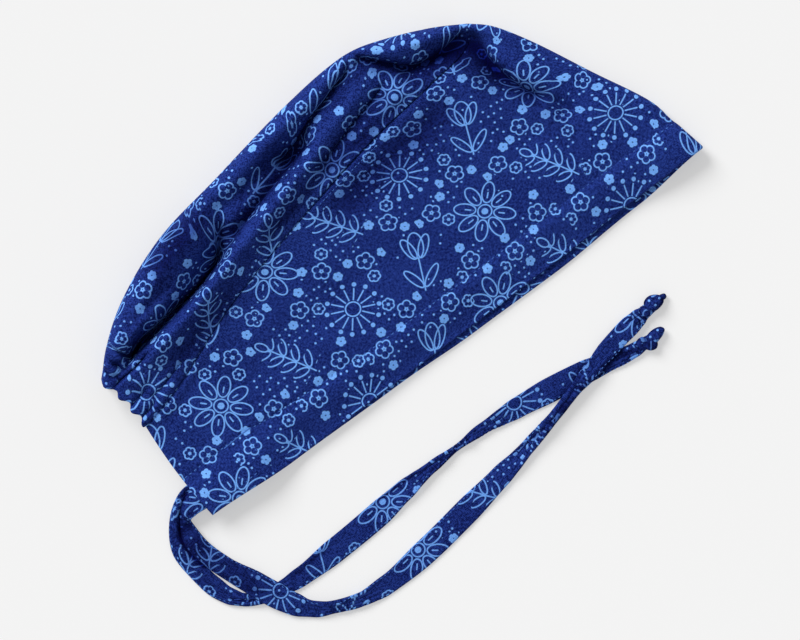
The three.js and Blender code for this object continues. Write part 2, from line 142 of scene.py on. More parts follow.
def ease(value, start, end):
    t = np.clip((np.asarray(value, float) - start) / (end - start), 0, 1)
    return t * t * (3 - 2 * t)


def walked(points, axis=0):
    # Length walked from the first point, along a line or one way of a grid
    steps = np.linalg.norm(np.diff(points, axis=axis), axis=-1)
    return np.concatenate([np.zeros_like(np.take(steps, [0], axis)), np.cumsum(steps, axis)], axis)


def curveThrough(points, steps=24):
    # Centripetal curve, so that points close together don't make it loop
    p = np.asarray(points, float)
    ends = np.vstack([2 * p[0] - p[1], p, 2 * p[-1] - p[-2]])
    t = np.linspace(0, 1, steps, endpoint=False)[:, None]
    runs = []
    for a, b, c, d in zip(ends[:-3], ends[1:-2], ends[2:-1], ends[3:]):
        ab, bc, cd = (np.linalg.norm(q - r) ** 0.5 for q, r in ((b, a), (c, b), (d, c)))
        leave = ((b - a) / ab - (c - a) / (ab + bc) + (c - b) / bc) * bc
        reach = ((c - b) / bc - (d - b) / (bc + cd) + (d - c) / cd) * bc
        square = 3 * (c - b) - 2 * leave - reach
        cube = 2 * (b - c) + leave + reach
        runs.append(b + leave * t + square * t**2 + cube * t**3)
    return np.vstack([*runs, p[-1:]])


def pointAt(line, shares):
    along = walked(line)
    return np.stack([np.interp(np.asarray(shares) * along[-1], along, c) for c in line.T], -1)


def leftOf(line, shares, probe=0.002):
    run = pointAt(line, np.clip(np.asarray(shares) + probe, 0, 1))
    run = run - pointAt(line, np.clip(np.asarray(shares) - probe, 0, 1))
    run /= np.linalg.norm(run, axis=-1, keepdims=True)
    return np.stack([-run[..., 1], run[..., 0]], -1)


def planCurve(shares):
    return curveThrough([(along * hemLength, rise * crownHeight) for along, rise in shares])


def nearLine(x, y, line):
    # Distance, positive on the line's left, share along it, and the way to its left
    away = np.full(np.shape(x), np.inf)
    share, leftX, leftY, side = (np.zeros(np.shape(x)) for _ in range(4))
    for k, (a, b) in enumerate(zip(line[:-1], line[1:])):
        run = b - a
        t = np.clip(((x - a[0]) * run[0] + (y - a[1]) * run[1]) / (run @ run), 0, 1)
        dx, dy = x - a[0] - run[0] * t, y - a[1] - run[1] * t
        here = np.hypot(dx, dy)
        closer = here < away
        away = np.where(closer, here, away)
        share = np.where(closer, (k + t) / (len(line) - 1), share)
        side = np.where(closer, np.where(run[0] * dy - run[1] * dx < 0, -1, 1), side)
        size = np.hypot(*run)
        leftX = np.where(closer, -run[1] / size, leftX)
        leftY = np.where(closer, run[0] / size, leftY)
    return away * side, share, leftX, leftY


def softNoise(x, y, size, seed, cells=64):
    heights = np.random.default_rng(seed).uniform(-1, 1, (cells, cells))
    u, v = x / size, y / size
    i, j = np.floor(u).astype(int), np.floor(v).astype(int)
    s, t = ease(u - i, 0, 1), ease(v - j, 0, 1)
    corners = [[heights[(i + a) % cells, (j + b) % cells] for a in (0, 1)] for b in (0, 1)]
    low, high = (near * (1 - s) + far * s for near, far in corners)
    return low * (1 - t) + high * t


# The cap's outlines, as shares of its length along the hem and of its height

crownFold = planCurve([
    (-0.017, 0.603), (0.022, 0.679), (0.089, 0.777), (0.2, 0.874), (0.335, 0.925), (0.483, 0.978),
    (0.585, 1), (0.636, 0.996), (0.688, 0.963), (0.762, 0.896), (0.814, 0.833),
])
foreheadFold = planCurve([
    (0.814, 0.833), (0.842, 0.779), (0.877, 0.663), (0.929, 0.442), (0.979, 0.226), (0.986, 0.146),
    (1, 0),
])
seamLine = planCurve([
    (0, 0.387), (0.074, 0.426), (0.223, 0.541), (0.372, 0.624), (0.558, 0.702), (0.706, 0.742),
    (0.773, 0.758), (0.799, 0.783), (0.814, 0.833),
])
outline = np.vstack([
    pointAt(crownFold, np.linspace(0, 1, 90)),
    pointAt(foreheadFold, np.linspace(0, 1, 60))[1:],
])

# How far each layer's hem hangs below the line between its ends, as shares of the casing's depth
hemSag = {
    "along": [0, 0.16, 0.37, 0.52, 0.69, 0.86, 1],
    "near": [0, 0.13, 0.1, 0.1, 0.08, 0.02, 0],
    "far": [0, 0.13, 0.17, 0.25, 0.27, 0.17, 0],
}

# Main folds, as the frame has them, in shares of the same lengths; lift is a share of the loft
foldColumns = ("fromAlong", "fromRise", "toAlong", "toRise", "bow", "lift", "halfWidth")
mainFolds = [
    (0.03, 0.66, 0.24, 0.82, 0.02, 0.34, 0.075),
    (0.03, 0.6, 0.265, 0.718, -0.012, -0.5, 0.036),
    (0.29, 0.765, 0.31, 0.83, 0, -0.16, 0.045),
    (0.03, 0.57, 0.48, 0.785, -0.018, 0.3, 0.04),
    (0.31, 0.718, 0.48, 0.822, 0, -0.18, 0.034),
    (0.32, 0.83, 0.48, 0.868, 0, -0.2, 0.045),
    (0.45, 0.855, 0.63, 0.975, 0, -0.2, 0.036),
    (0.45, 0.738, 0.65, 0.86, 0, -0.14, 0.042),
    (0.65, 0.93, 0.69, 0.84, 0, -0.24, 0.036),
    (0.69, 0.835, 0.8, 0.81, 0, -0.2, 0.036),
    (0.812, 0.78, 0.862, 0.395, 0.045, -0.2, 0.036),
    (0.8, 0.79, 0.79, 0.4, 0, -0.12, 0.06),
    (0.85, 0.68, 0.9, 0.32, 0, 0.12, 0.07),
]

# Creases and small rolls on top of them, in millimetres. lift is at the line and dies out over
# left and right, the faster the lower sharp is. pushLeft and pushRight draw the cloth on each side
# towards the line, fade is the share of the line over which each end dies out, and shade is the
# painted shade there: the cloth's colour is darkened along the crease.
creaseColumns = ("path", "lift", "left", "right", "shade", "fade", "sharp", "pushLeft", "pushRight")
plainCrease = {"shade": 0, "fade": 0.3, "sharp": 2, "pushLeft": 0, "pushRight": 0}
# How far and how sharply each crease's painted shade spreads, over its lift
creaseWork = {
    "pathSteps": 4,
    "paintedShadeReach": 1.3,  # over the reach of the lift
    "paintedShadeSharp": 2.2,
    "unevenness": [(0.3, 27, 3), (0.1, 9, 5)],  # height, size and seed
}
creases = [
    # black crease under the roll of the crown, and the lip that hangs over it
    ([(11, 76), (15, 78), (20, 79.2), (28, 80.2), (38, 81.4), (48, 82.8), (58, 84.6), (66, 87), (74, 91)],
     -8.5, 1.9, 1.9, 1, 0.1, 2.6, 0.5, 0.2),
    ([(11, 77), (17, 79.4), (23, 80.6), (30, 81.6)], -1.5, 2.2, 2.2, 0.6),
    ([(12, 82.5), (22, 84.8), (32, 85.4), (44, 86.8), (54, 88.5)], 1.9, 1.8, 1.5),
    ([(10, 87), (24, 89.5), (38, 91), (52, 93)], -1.3, 4, 3, 0.4),
    # painted shade only, darkening the roll above
    ([(34, 98.5), (50, 103), (66, 106.5), (92, 110)], 0, 6, 6, 0.85),
    # dimple where that crease ends
    ([(66, 88), (71, 92), (76, 97), (82, 104)], -3.6, 2.2, 5, 0.7, 0.3, 1.6, 1.2),
    # ridge below it
    ([(12, 71), (26, 73.2), (40, 75.4), (54, 78.4), (67, 82.5), (78, 86.6), (90, 90.2), (104, 93.8),
      (117, 96.6), (132, 99.4)], 3.1, 3.2, 6, 0, 0.12),
    # painted shade only, along the ridge
    ([(84, 86), (98, 90), (112, 93.4), (126, 96)], 0, 3.5, 3.5, 0.25),
    # lit lip over the deep crease, drawn unevenly
    ([(10, 84.6), (24, 86.6), (38, 88.4), (56, 91)], 0.9, 1.6, 1.6),
    ([(12, 80.4), (15, 82.4), (19, 82.6), (23, 84.4)], 0.7, 1, 1),
    # crisp crease along the ridge's upper edge
    ([(70, 88.5), (81, 91.6), (90, 94.2), (99, 96.8), (108, 99.2), (117, 101.4), (128, 104), (138, 107)],
     -5.6, 5, 1.2, 0.9, 0.18, 1.7, 0.4, 0.8),
    # underside of the ridge, down to the seam
    ([(14, 60), (34, 66.5), (54, 71), (74, 78)], -1.8, 4, 4, 0.35),
    # painted shade only, under the ridge
    ([(16, 58.5), (34, 63.5), (54, 68.5), (74, 74.5)], 0, 2.6, 2.6, 0.4),
    ([(20, 66.5), (36, 69), (50, 72.5)], 0.8, 2.5, 2.5, 0, 0.4),
    ([(80, 80), (110, 87), (150, 92), (196, 97)], -1.3, 2.6, 2.6, 0.55, 0.2),
    # soft valley and swelling of the roll above
    ([(84, 104), (98, 106), (114, 108.5), (126, 110)], -2.2, 3.5, 5, 0.4),
    ([(84, 113), (110, 117), (130, 119.5), (152, 122)], 1.8, 4, 6),
    # lower edge of the roll towards the peak
    ([(112, 105.5), (120, 108), (130, 111), (140, 115), (147, 116.5), (155, 119), (163, 121.4),
      (170, 125.5)], -5.2, 1.2, 5, 0.75, 0.16, 1.6, 0.9, 0.3),
    # facets over the front
    ([(124, 100), (140, 103), (156, 107.5), (172, 112)], 1.8, 4, 3),
    ([(120, 93.5), (134, 96), (150, 100.5), (166, 104.5), (178, 108)],
     -3.4, 1.4, 6, 0.8, 0.22, 1.6, 0.6, 0.2),
    ([(146, 112), (158, 114), (168, 119)], -1.2, 3, 4, 0.2),
    ([(170, 125.5), (175, 120), (181, 113.4), (187, 107.4), (195, 104.2), (207, 104), (218, 105.2)],
     -6.8, 1.3, 6, 0.92, 0.1, 1.7, 1, 0.3),
    ([(176, 106), (188, 101), (204, 99), (216, 98)], -1.6, 4, 5, 0.5, 0.25),
    ([(184, 119), (196, 113), (210, 108.5)], 1.4, 3, 3),
    # upright crease behind the forehead
    ([(219.8, 104.8), (219.5, 97), (218.5, 88), (219, 80), (221.5, 71), (225, 63), (228, 56)],
     -5.8, 1.2, 5, 0.85, 0.24, 1.7, 0.9, 0.4),
    ([(220, 78), (223, 69), (227, 60), (232, 49), (236, 38)], -2.4, 3, 5.5, 0.5, 0.4),
    ([(216, 104), (215.5, 93), (216.5, 83), (219.5, 70)], -1.6, 2.4, 2.6, 0.94, 0.25),
    ([(213, 106), (211, 96), (213, 84), (216, 68)], -1.4, 6, 6, 0.6),
    ([(188, 104), (200, 102.5), (209, 99), (214, 90)], -0.6, 4.5, 4.5, 0.7, 0.35),
    ([(226, 92), (229, 80), (234, 66), (241, 52)], 1.3, 4, 4),
    # pinches and scrunched cloth at the nape
    ([(23, 80.8), (18, 80.4), (14.4, 78), (11.4, 75.2), (5, 73.8), (-3, 73.2)],
     -2.4, 1.1, 1.1, 0.45, 0.15, 1.7, 0.3, 0.3),
    ([(-5, 70.8), (4, 71.4), (12, 72), (25, 74.8)], -3.6, 0.8, 0.8, 1, 0.2, 1.8, 0.2, 0.2),
    ([(-3, 59.8), (4, 60.6), (13, 62)], -1.9, 1.1, 1.2, 0.25, 0.35, 1.6, 0.2, 0.2),
    ([(-2, 53.2), (5, 53.6), (12, 55)], -1.4, 1, 1.1, 0.25, 0.35, 1.6, 0.1, 0.1),
    ([(4, 57.4), (14, 58.2), (26, 60.8), (36, 63)], -1.2, 0.9, 0.9, 0.25, 0.3, 1.6, 0.1, 0.1),
    ([(-5, 74.2), (3, 75), (9, 75.6)], -2, 0.8, 0.8, 0.35, 0.3, 1.7, 0.2, 0.2),
    ([(-4, 78.2), (3, 79), (9, 79.2), (14, 80.6)], -2.2, 0.9, 0.9, 0.35, 0.3, 1.7, 0.2, 0.2),
    ([(3, 83), (10, 83.2), (17, 85.6), (26, 87.4)], -1.6, 1, 1, 0.25, 0.35, 1.6, 0.2, 0.1),
    ([(4.2, 84), (5.8, 79.4), (5.2, 74)], -4.4, 1.1, 1, 0.2, 0.25, 1.6, 0.1, 0.1),
    ([(9.6, 83), (11.2, 79), (10.8, 75)], -4.2, 1.2, 1, 0.2, 0.25, 1.6, 0.1, 0.1),
    ([(0, 81), (1.6, 77.4), (0.6, 74)], -4, 1, 0.9, 0.2, 0.25, 1.6, 0.1, 0.1),
    ([(8, 82), (8.4, 79), (8, 75.8)], 2.8, 1.3, 1.3, 0, 0.35),
    ([(2.9, 81), (3.6, 78), (3, 75)], 2.8, 1.2, 1.2, 0, 0.35),
    ([(2, 67), (10, 66), (20, 66.6)], 1.1, 2, 2, 0, 0.35),
    # faint hollows and ridges of the band
    ([(20, 34), (60, 40), (100, 44), (150, 46)], -0.8, 7, 9),
    ([(110, 73), (140, 77), (170, 80), (204, 82)], -2.2, 6, 8, 0.7, 0.25),
    ([(214, 60), (224, 44), (232, 32)], -1, 4, 7, 0.15),
    ([(2, 44), (14, 46), (30, 52), (46, 58)], -0.8, 2.2, 3, 0.15),
]


def foldCurve(fold, steps=9):
    start = np.array([fold["fromAlong"] * hemLength, fold["fromRise"] * crownHeight])
    end = np.array([fold["toAlong"] * hemLength, fold["toRise"] * crownHeight])
    run = end - start
    aside = np.array([-run[1], run[0]]) / np.linalg.norm(run) * 2 * fold["bow"] * crownHeight
    t = np.linspace(0, 1, steps)[:, None]
    middle = (start + end) / 2 + aside
    return start * (1 - t) ** 2 + 2 * middle * t * (1 - t) + end * t**2


def loftAt(x, y):
    front = ease(x / hemLength, *cap["frontReach"])
    middle = cap["crownLoft"] + (cap["frontLoft"] - cap["crownLoft"]) * front
    loft = cap["hemLoft"] + (middle - cap["hemLoft"]) * ease(y / crownHeight, *cap["loftReach"])
    loft = loft + cap["casingPuff"] * np.sin(np.pi * np.clip(y / cap["casingDepth"], 0, 1))
    for fold in named(foldColumns, mainFolds):
        away = nearLine(x, y, foldCurve(fold))[0] / (fold["halfWidth"] * crownHeight)
        loft = loft + fold["lift"] * cap["crownLoft"] * np.exp(-away * away)
    return loft


def turnAt(x, y, loft):
    away = np.abs(nearLine(x, y, outline)[0])
    inward = np.clip(away / (cap["turnReach"] * loft), 0, 1)
    return np.sqrt(np.maximum(0, 1 - (1 - inward) ** 2))


def creased(x, y, rows=creases, usual=plainCrease, uneven=1.0):
    # Height, sideways shift and painted shade that the creases give the upper wall
    height, shiftX, shiftY, shade = (np.zeros(np.shape(x)) for _ in range(4))
    for crease in named(creaseColumns, rows, usual):
        path = curveThrough(crease["path"], creaseWork["pathSteps"])
        away, share, leftX, leftY = nearLine(x, y, path)
        spread = np.where(away > 0, crease["left"], crease["right"])
        strength = ease(share, 0, crease["fade"]) * ease(1 - share, 0, crease["fade"])
        bell = strength * np.exp(-(np.abs(away / spread) ** crease["sharp"]))
        height += crease["lift"] * bell
        push = np.where(away > 0, crease["pushLeft"], crease["pushRight"])
        draw = -push * (away / spread) * bell * math.e**0.5
        shiftX += draw * leftX
        shiftY += draw * leftY
        # painted shade along the crease, reaching a little past its lift
        shadeFalloff = np.abs(away / (creaseWork["paintedShadeReach"] * spread)) ** creaseWork["paintedShadeSharp"]
        shade = 1 - (1 - shade) * (1 - crease["shade"] * strength * np.exp(-shadeFalloff))
    noise = sum(lift * softNoise(x, y, size, seed) for lift, size, seed in creaseWork["unevenness"])
    return height + uneven * noise, shiftX, shiftY, shade


def wallPoints(x, y, side, wall, ripple=0.0):
    loft = loftAt(x, y)
    turn = turnAt(x, y, loft)
    height, shiftX, shiftY, shade = creased(x, y)
    height = np.maximum(height, cap["leastLoft"] - loft)
    upper = np.where(side > 0, turn, 0)
    z = wall / 2 + loft * (0.5 + 0.5 * side * turn) + ripple * turn + height * upper
    return np.stack([x + shiftX * upper, y + shiftY * upper, z], -1), shade * upper


# Cloth of real thickness from a grid of middle points, with rounded free edges

def edgeRounding(middle, edges, radius, least=0.01):
    thick = np.ones(middle.shape[:2])
    for axis, atStart, atEnd in edges:
        along = walked(middle, axis)
        for wanted, away in ((atStart, along), (atEnd, np.take(along, [-1], axis) - along)):
            if wanted:
                inward = np.clip(away / radius, 0, 1)
                thick = np.minimum(thick, np.sqrt(np.maximum(least, 1 - (1 - inward) ** 2)))
    return thick


def sheetFaces(columns, rows):
    # The outer and the inner wall, and a strip of quads round each of the four edges
    outer = np.arange(columns * rows).reshape(columns, rows)
    inner = outer + columns * rows
    strips = [
        (outer[:-1, :-1], outer[1:, :-1], outer[1:, 1:], outer[:-1, 1:]),
        (inner[:-1, :-1], inner[:-1, 1:], inner[1:, 1:], inner[1:, :-1]),
        (outer[:-1, 0], inner[:-1, 0], inner[1:, 0], outer[1:, 0]),
        (outer[:-1, -1], outer[1:, -1], inner[1:, -1], inner[:-1, -1]),
        (outer[0, :-1], outer[0, 1:], inner[0, 1:], inner[0, :-1]),
        (outer[-1, :-1], inner[-1, :-1], inner[-1, 1:], outer[-1, 1:]),
    ]
    return np.concatenate([np.stack(strip, -1).reshape(-1, 4) for strip in strips])


def thicken(middle, wall, edges=(), radius=0.8):
    normal = np.cross(np.gradient(middle, axis=0), np.gradient(middle, axis=1))
    normal /= np.maximum(np.linalg.norm(normal, axis=-1, keepdims=True), 1e-9)
    half = normal * (wall * edgeRounding(middle, edges, radius) / 2)[..., None]
    return middle + half, middle - half


def asMesh(name, points, faces, place):
    cloth = bpy.data.meshes.new(name)
    cloth.vertices.add(len(points))
    cloth.vertices.foreach_set("co", toFrame(points).ravel())
    cloth.loops.add(faces.size)
    cloth.loops.foreach_set("vertex_index", faces.ravel())
    cloth.polygons.add(len(faces))
    cloth.polygons.foreach_set("loop_start", np.arange(len(faces)) * faces.shape[1])
    cloth.polygons.foreach_set("use_smooth", np.ones(len(faces), bool))
    clothPlace = cloth.attributes.new("clothPlace", "FLOAT_VECTOR", "POINT")
    clothPlace.data.foreach_set("vector", place.ravel())
    cloth.update()
    cloth.validate()
    return inScene(name, cloth)


def clothShell(middle, wall, flat, shade, edges=(), radius=0.8):
    # The third number of each place on the cloth is its painted shade, which darkens its colour
    outer, inner = thicken(middle, wall, edges, radius)
    points = np.concatenate([outer.reshape(-1, 3), inner.reshape(-1, 3)])
    place = np.concatenate([flat, shade[..., None]], -1).reshape(-1, 3)
    return points, sheetFaces(*middle.shape[:2]), np.concatenate([place, place])


def clothPiece(name, *shells):
    starts = np.cumsum([0] + [len(points) for points, _, _ in shells[:-1]])
    faces = np.concatenate([shell[1] + start for shell, start in zip(shells, starts)])
    points, places = (np.concatenate([shell[k] for shell in shells]) for k in (0, 2))
    return asMesh(name, points, faces, places)


# Columns and rows of the grids of both cloths

gridSteps = {
    "columns": 190,
    "farColumns": 70,
    "crowding": 1.12,  # over 1 draws the columns towards the nape
    "nearRows": 66,
    "farRows": 18,
    "turnAngles": (90, 80, 70, 60, 50, 40, 30, 20, 10),
    "turnMost": 0.8,  # share of a run that its turn may take
    "hemRows": (0, 0.008, 0.02, 0.04),  # close together at the cloth's free edge
    "casingRows": 13,
    "bandRows": 56,
    "seamRows": (0.965, 0.98, 0.99, 1),
}


def turnShares(foldPoint, length):
    # Shares of each run at which the cloth has turned by the angles, the last of them near its fold
    reach = cap["turnReach"] * loftAt(foldPoint[..., 0], foldPoint[..., 1])
    reach = np.minimum(reach, gridSteps["turnMost"] * length) / length
    angles = np.radians(gridSteps["turnAngles"])
    return 1 - np.asarray(reach)[..., None] * (1 - np.cos(angles))


def stepsTo(turns, count, crowding=1.0):
    flat = (np.arange(count) / count) ** crowding
    return np.concatenate([flat * turns[..., :1], turns], -1)


def seamPoint(shares, shift):
    return pointAt(seamLine, shares) + leftOf(seamLine, shares) * np.asarray(shift)[..., None]


# Crown panel

crown = {
    "seamGap": 0.1,
    "gatherDepth": 1.9,
    "gatherReach": 17.0,
    "gatherCount": 3.5,
    "gatherStart": 0.18,
    "gatherEdge": 1 / 6,  # share of the panel's side over which they lift the cloth
    "gatherSway": 0.6,  # how far they move its edge sideways, over their depth
    "edgeHollow": 2,
    "puckers": [(1, 3, 2.6, 11), (0.6, 2, 1.4, 12)],  # small wrinkles: share, stretch, size, seed
    "puckerDepth": 0.45,
    "puckerStart": -3.0,
    "puckerReach": 9.0,
    "puckerBelow": 0.3,  # their share on the lower wall
    "flat": (0.122, 0.269),  # cut size, at its widest and along its fold
    "area": 0.022,  # of its rounded outline
}


def asCut(middle, x, y, seam):
    # Walked lengths laid out from the seam, the far half on past the fold
    plan = np.diff(np.stack([x, y], -1), axis=1)
    plan = plan / np.maximum(np.linalg.norm(plan, axis=-1, keepdims=True), 1e-6)
    plan[..., 1] = np.abs(plan[..., 1])
    steps = np.linalg.norm(np.diff(middle, axis=1), axis=-1, keepdims=True)
    runs = np.cumsum(plan * steps, axis=1)
    return seam[:, None, :] + np.concatenate([np.zeros_like(runs[:, :1]), runs], 1)


def crownCloth():
    kinkTurns = turnShares(seamLine[-1], walked(seamLine)[-1])
    shares = stepsTo(kinkTurns, gridSteps["columns"], gridSteps["crowding"])
    seam = seamPoint(shares, crown["seamGap"])
    fold = pointAt(crownFold, shares)
    rise = fold - seam
    turns = turnShares(fold, np.linalg.norm(rise, axis=-1))
    near = stepsTo(turns, gridSteps["nearRows"])
    far = stepsTo(turns, gridSteps["farRows"])[:, ::-1]
    across = np.concatenate([near, np.ones((len(shares), 1)), far], 1)
    side = np.concatenate([np.ones(near.shape[1]), [0], -np.ones(far.shape[1])])[None, :]
    drawnIn = (rise[:, 0] * np.exp(-shares * hemLength / crown["gatherReach"]))[:, None]
    x = seam[:, :1] + rise[:, :1] * across
    x = x - drawnIn * (across - across ** (1 + crown["edgeHollow"]))
    y = seam[:, 1:] + rise[:, 1:] * across
    fade = np.exp(-np.maximum(0, x) / crown["gatherReach"])
    wave = np.sin(2 * np.pi * (crown["gatherCount"] * across + crown["gatherStart"]))
    lift = crown["gatherDepth"] * fade * np.sin(np.pi * np.minimum(1, across / crown["gatherEdge"]))
    ripple = np.where(side > 0, lift * wave, lift * (1 + wave) / 4)
    close = np.exp(-np.maximum(0, x - crown["puckerStart"]) / crown["puckerReach"])
    pucker = sum(part * softNoise(x / stretch, y, size, seed)
                 for part, stretch, size, seed in crown["puckers"])
    pucker = crown["puckerDepth"] * close * pucker
    ripple = ripple + pucker * np.where(side > 0, 1, crown["puckerBelow"])
    middle, shade = wallPoints(x, y, side, cap["clothWall"], ripple)
    middle[..., 0] -= crown["gatherSway"] * crown["gatherDepth"] * fade**2 * wave
    aboveSeam = np.maximum(0, nearLine(x, y, seamLine)[0])
    roll = cap["seamRoll"] * (1 - np.exp(-aboveSeam / cap["seamRollReach"]))
    middle[..., 2] += np.where(side > 0, roll, 0) * turnAt(x, y, loftAt(x, y))
    flat = asCut(middle, x, y, seam)
    shell = clothShell(middle, cap["clothWall"], flat, shade, [(0, True, False)])
    return clothPiece("crownCloth", shell)


# Side band

band = {
    "hemDip": 5.2,  # how far the upper hem sinks towards the lower one
    "hemDipReach": 14.0,
    "hemDipFrom": (22, 50),  # stretches of the hem over which the dip grows and ends
    "hemDipTo": (225, 262),
    "stitchDent": 0.4,
    "stitchDentReach": 1.0,
    "casingStep": (0.97, 0.75),  # shares of the casing's depth over which its wall thickens
    "lapEnd": 0.93,  # share of the seam past which its lap runs out
    "dropReach": (-2.2, 0.6),  # off the seam
    "dropEnd": (205, 219),  # along the hem
    "flat": (0.119, 0.543),  # cut size, at its highest and along the hem
    "area": 0.044,  # of its curved outline
}
casingStitch = [
    (0.7, 20.4), (33, 20.9), (43, 19.6), (70, 17.8), (97, 16.7), (133, 16.4), (170, 16.7), (206, 17.3),
    (242, 17.1), (264, 16.4),
]


def bandSettling(x, y):
    # How far the upper wall of the band lies under its plain shape
    dip = band["hemDip"] * ease(x, *band["hemDipFrom"]) * (1 - ease(x, *band["hemDipTo"]))
    dip = dip * np.exp(-((np.maximum(y, 0) / band["hemDipReach"]) ** 2))
    stitch = np.interp(x, *np.transpose(casingStitch))
    away = (stitch - y) / band["stitchDentReach"]
    return dip + band["stitchDent"] * np.exp(-away * away)


def bandWall(share):
    # share is of the casing's depth
    thicker = cap["casingWall"] - cap["clothWall"]
    return cap["clothWall"] + thicker * ease(share, *band["casingStep"])


def hemSagAt(layer, at):
    along, values = np.asarray(hemSag["along"], float), np.asarray(hemSag[layer], float)
    k = np.clip(np.searchsorted(along, at) - 1, 0, len(along) - 2)
    t = ease((at - along[k]) / (along[k + 1] - along[k]), 0, 1)
    return values[k] * (1 - t) + values[k + 1] * t


def cutEnd(y):
    bow = cap["backBow"] * np.sin(np.pi * np.clip(y / seamLine[0, 1], 0, 1))
    return np.stack([-bow, y + 0 * bow], -1)


foldWalk = walked(foreheadFold)
casingOnFold = float(np.interp(-cap["casingDepth"], -foreheadFold[:, 1], foldWalk / foldWalk[-1]))


def patch(bottom, top, left, right, u, v):
    # left and right run from bottom to top; u is (columns,), v a number
    mixed = bottom(u) * (1 - v) + top(u) * v + left(v) * (1 - u)[:, None] + right(v) * u[:, None]
    zero, one = np.zeros(1), np.ones(1)
    mixed -= bottom(zero) * ((1 - u) * (1 - v))[:, None] + bottom(one) * (u * (1 - v))[:, None]
    return mixed - top(zero) * ((1 - u) * v)[:, None] - top(one) * (u * v)[:, None]


def bandLine(part, v, u, side):
    depth = cap["casingDepth"]

    def hem(shares):
        sag = hemSagAt("near" if side > 0 else "far", shares)
        return np.stack([shares * hemLength, -sag * depth], -1)

    def casingTop(shares):
        start, end = cutEnd(depth), pointAt(foreheadFold, casingOnFold)
        return start + (end - start) * shares[:, None]

    def seamTop(shares):
        return seamPoint(shares, cap["seamLap"] * (1 - ease(shares, band["lapEnd"], 1)))

    if part == "casing":
        low, high = 0, depth
        bottom, top, foldFrom, foldTo = hem, casingTop, 1, casingOnFold
    else:
        low, high = depth, seamTop(np.zeros(1))[0, 1]
        bottom, top, foldFrom, foldTo = casingTop, seamTop, casingOnFold, 0
    return patch(
        bottom, top,
        lambda share: cutEnd(low + (high - low) * share),
        lambda share: pointAt(foreheadFold, foldFrom + (foldTo - foldFrom) * share),
        u, v,
    )


def bandCloth():
    columns, farColumns, crowding = (gridSteps[k] for k in ("columns", "farColumns", "crowding"))
    casing = (*gridSteps["hemRows"], *np.linspace(0.07, 0.97, gridSteps["casingRows"]))
    above = (*np.linspace(0, 0.95, gridSteps["bandRows"]), *gridSteps["seamRows"])
    lines, walls, sides = [], [], []
    for part, v in [("casing", v) for v in casing] + [("above", v) for v in above]:
        edge = bandLine(part, v, np.ones(1), 1)[0]
        turns = turnShares(edge, max(edge[0], 1))
        near = stepsTo(turns, columns, crowding)
        far = stepsTo(turns, farColumns, crowding)[::-1]
        lines.append(np.concatenate([bandLine(part, v, near, 1), edge[None], bandLine(part, v, far, -1)]))
        walls.append(bandWall(v if part == "casing" else 1))
        sides.append(np.concatenate([np.ones(len(near)), [0], -np.ones(len(far))]))
    plan = np.stack(lines, 1)
    side = np.stack(sides, 1)
    wall = np.asarray(walls)[None, :] * np.ones(plan.shape[:2])
    x, y = plan[..., 0], plan[..., 1]
    middle, shade = wallPoints(x, y, side, wall)
    drop = cap["seamDrop"] * ease(nearLine(x, y, seamLine)[0], *band["dropReach"])
    middle[..., 2] -= drop * (1 - ease(x, *band["dropEnd"])) * side
    middle[..., 2] -= np.where(side > 0, bandSettling(x, y), 0)
    flat = np.stack([walked(middle, 0) + x[:1], walked(middle, 1) + y[:, :1]], -1)
    shell = clothShell(middle, wall, flat, shade, [(0, True, True), (1, True, False)])
    return clothPiece("bandCloth", shell)


# Ties

tieWork = {
    "length": 300.0,
    "width": 12.3,
    "wall": 1.3,
    "clearance": 0.3,
    "mouthSlack": 2.1,
    "steps": 420,
    "columns": 33,
    "mostCurl": 1.3,  # past this half angle the strap bunches up instead
    "flattening": 0.5,  # height of a curled stretch over that of a round curl
    "pleats": 2.5,
    "pleatDepth": 0.8,
    "pleatDrift": 9.0,
    "pleatPaintedShade": 0.8,
    "rumple": 0.18,
    "rumpleSize": 5.5,
    "rumpleWidth": 7.0,
    "cornerRoom": 0.93,  # share of a turn's radius that the strap's inner side may take
    "edgeThinning": 0.25,
    "edgeRadius": 0.6,
    "tableGap": 0.05,
    # painted shade over the whole of each strap
    "nearPaintedShade": 0.2,
    "farPaintedShade": 0.24,
    "flat": (0.0123, 0.315),
}
mouthClear = 2 * tieWork["wall"] + 3 * tieWork["clearance"] + tieWork["mouthSlack"]
farInside = cap["casingWall"] + tieWork["clearance"]
nearInside = cap["casingWall"] + mouthClear - tieWork["clearance"] - tieWork["wall"]

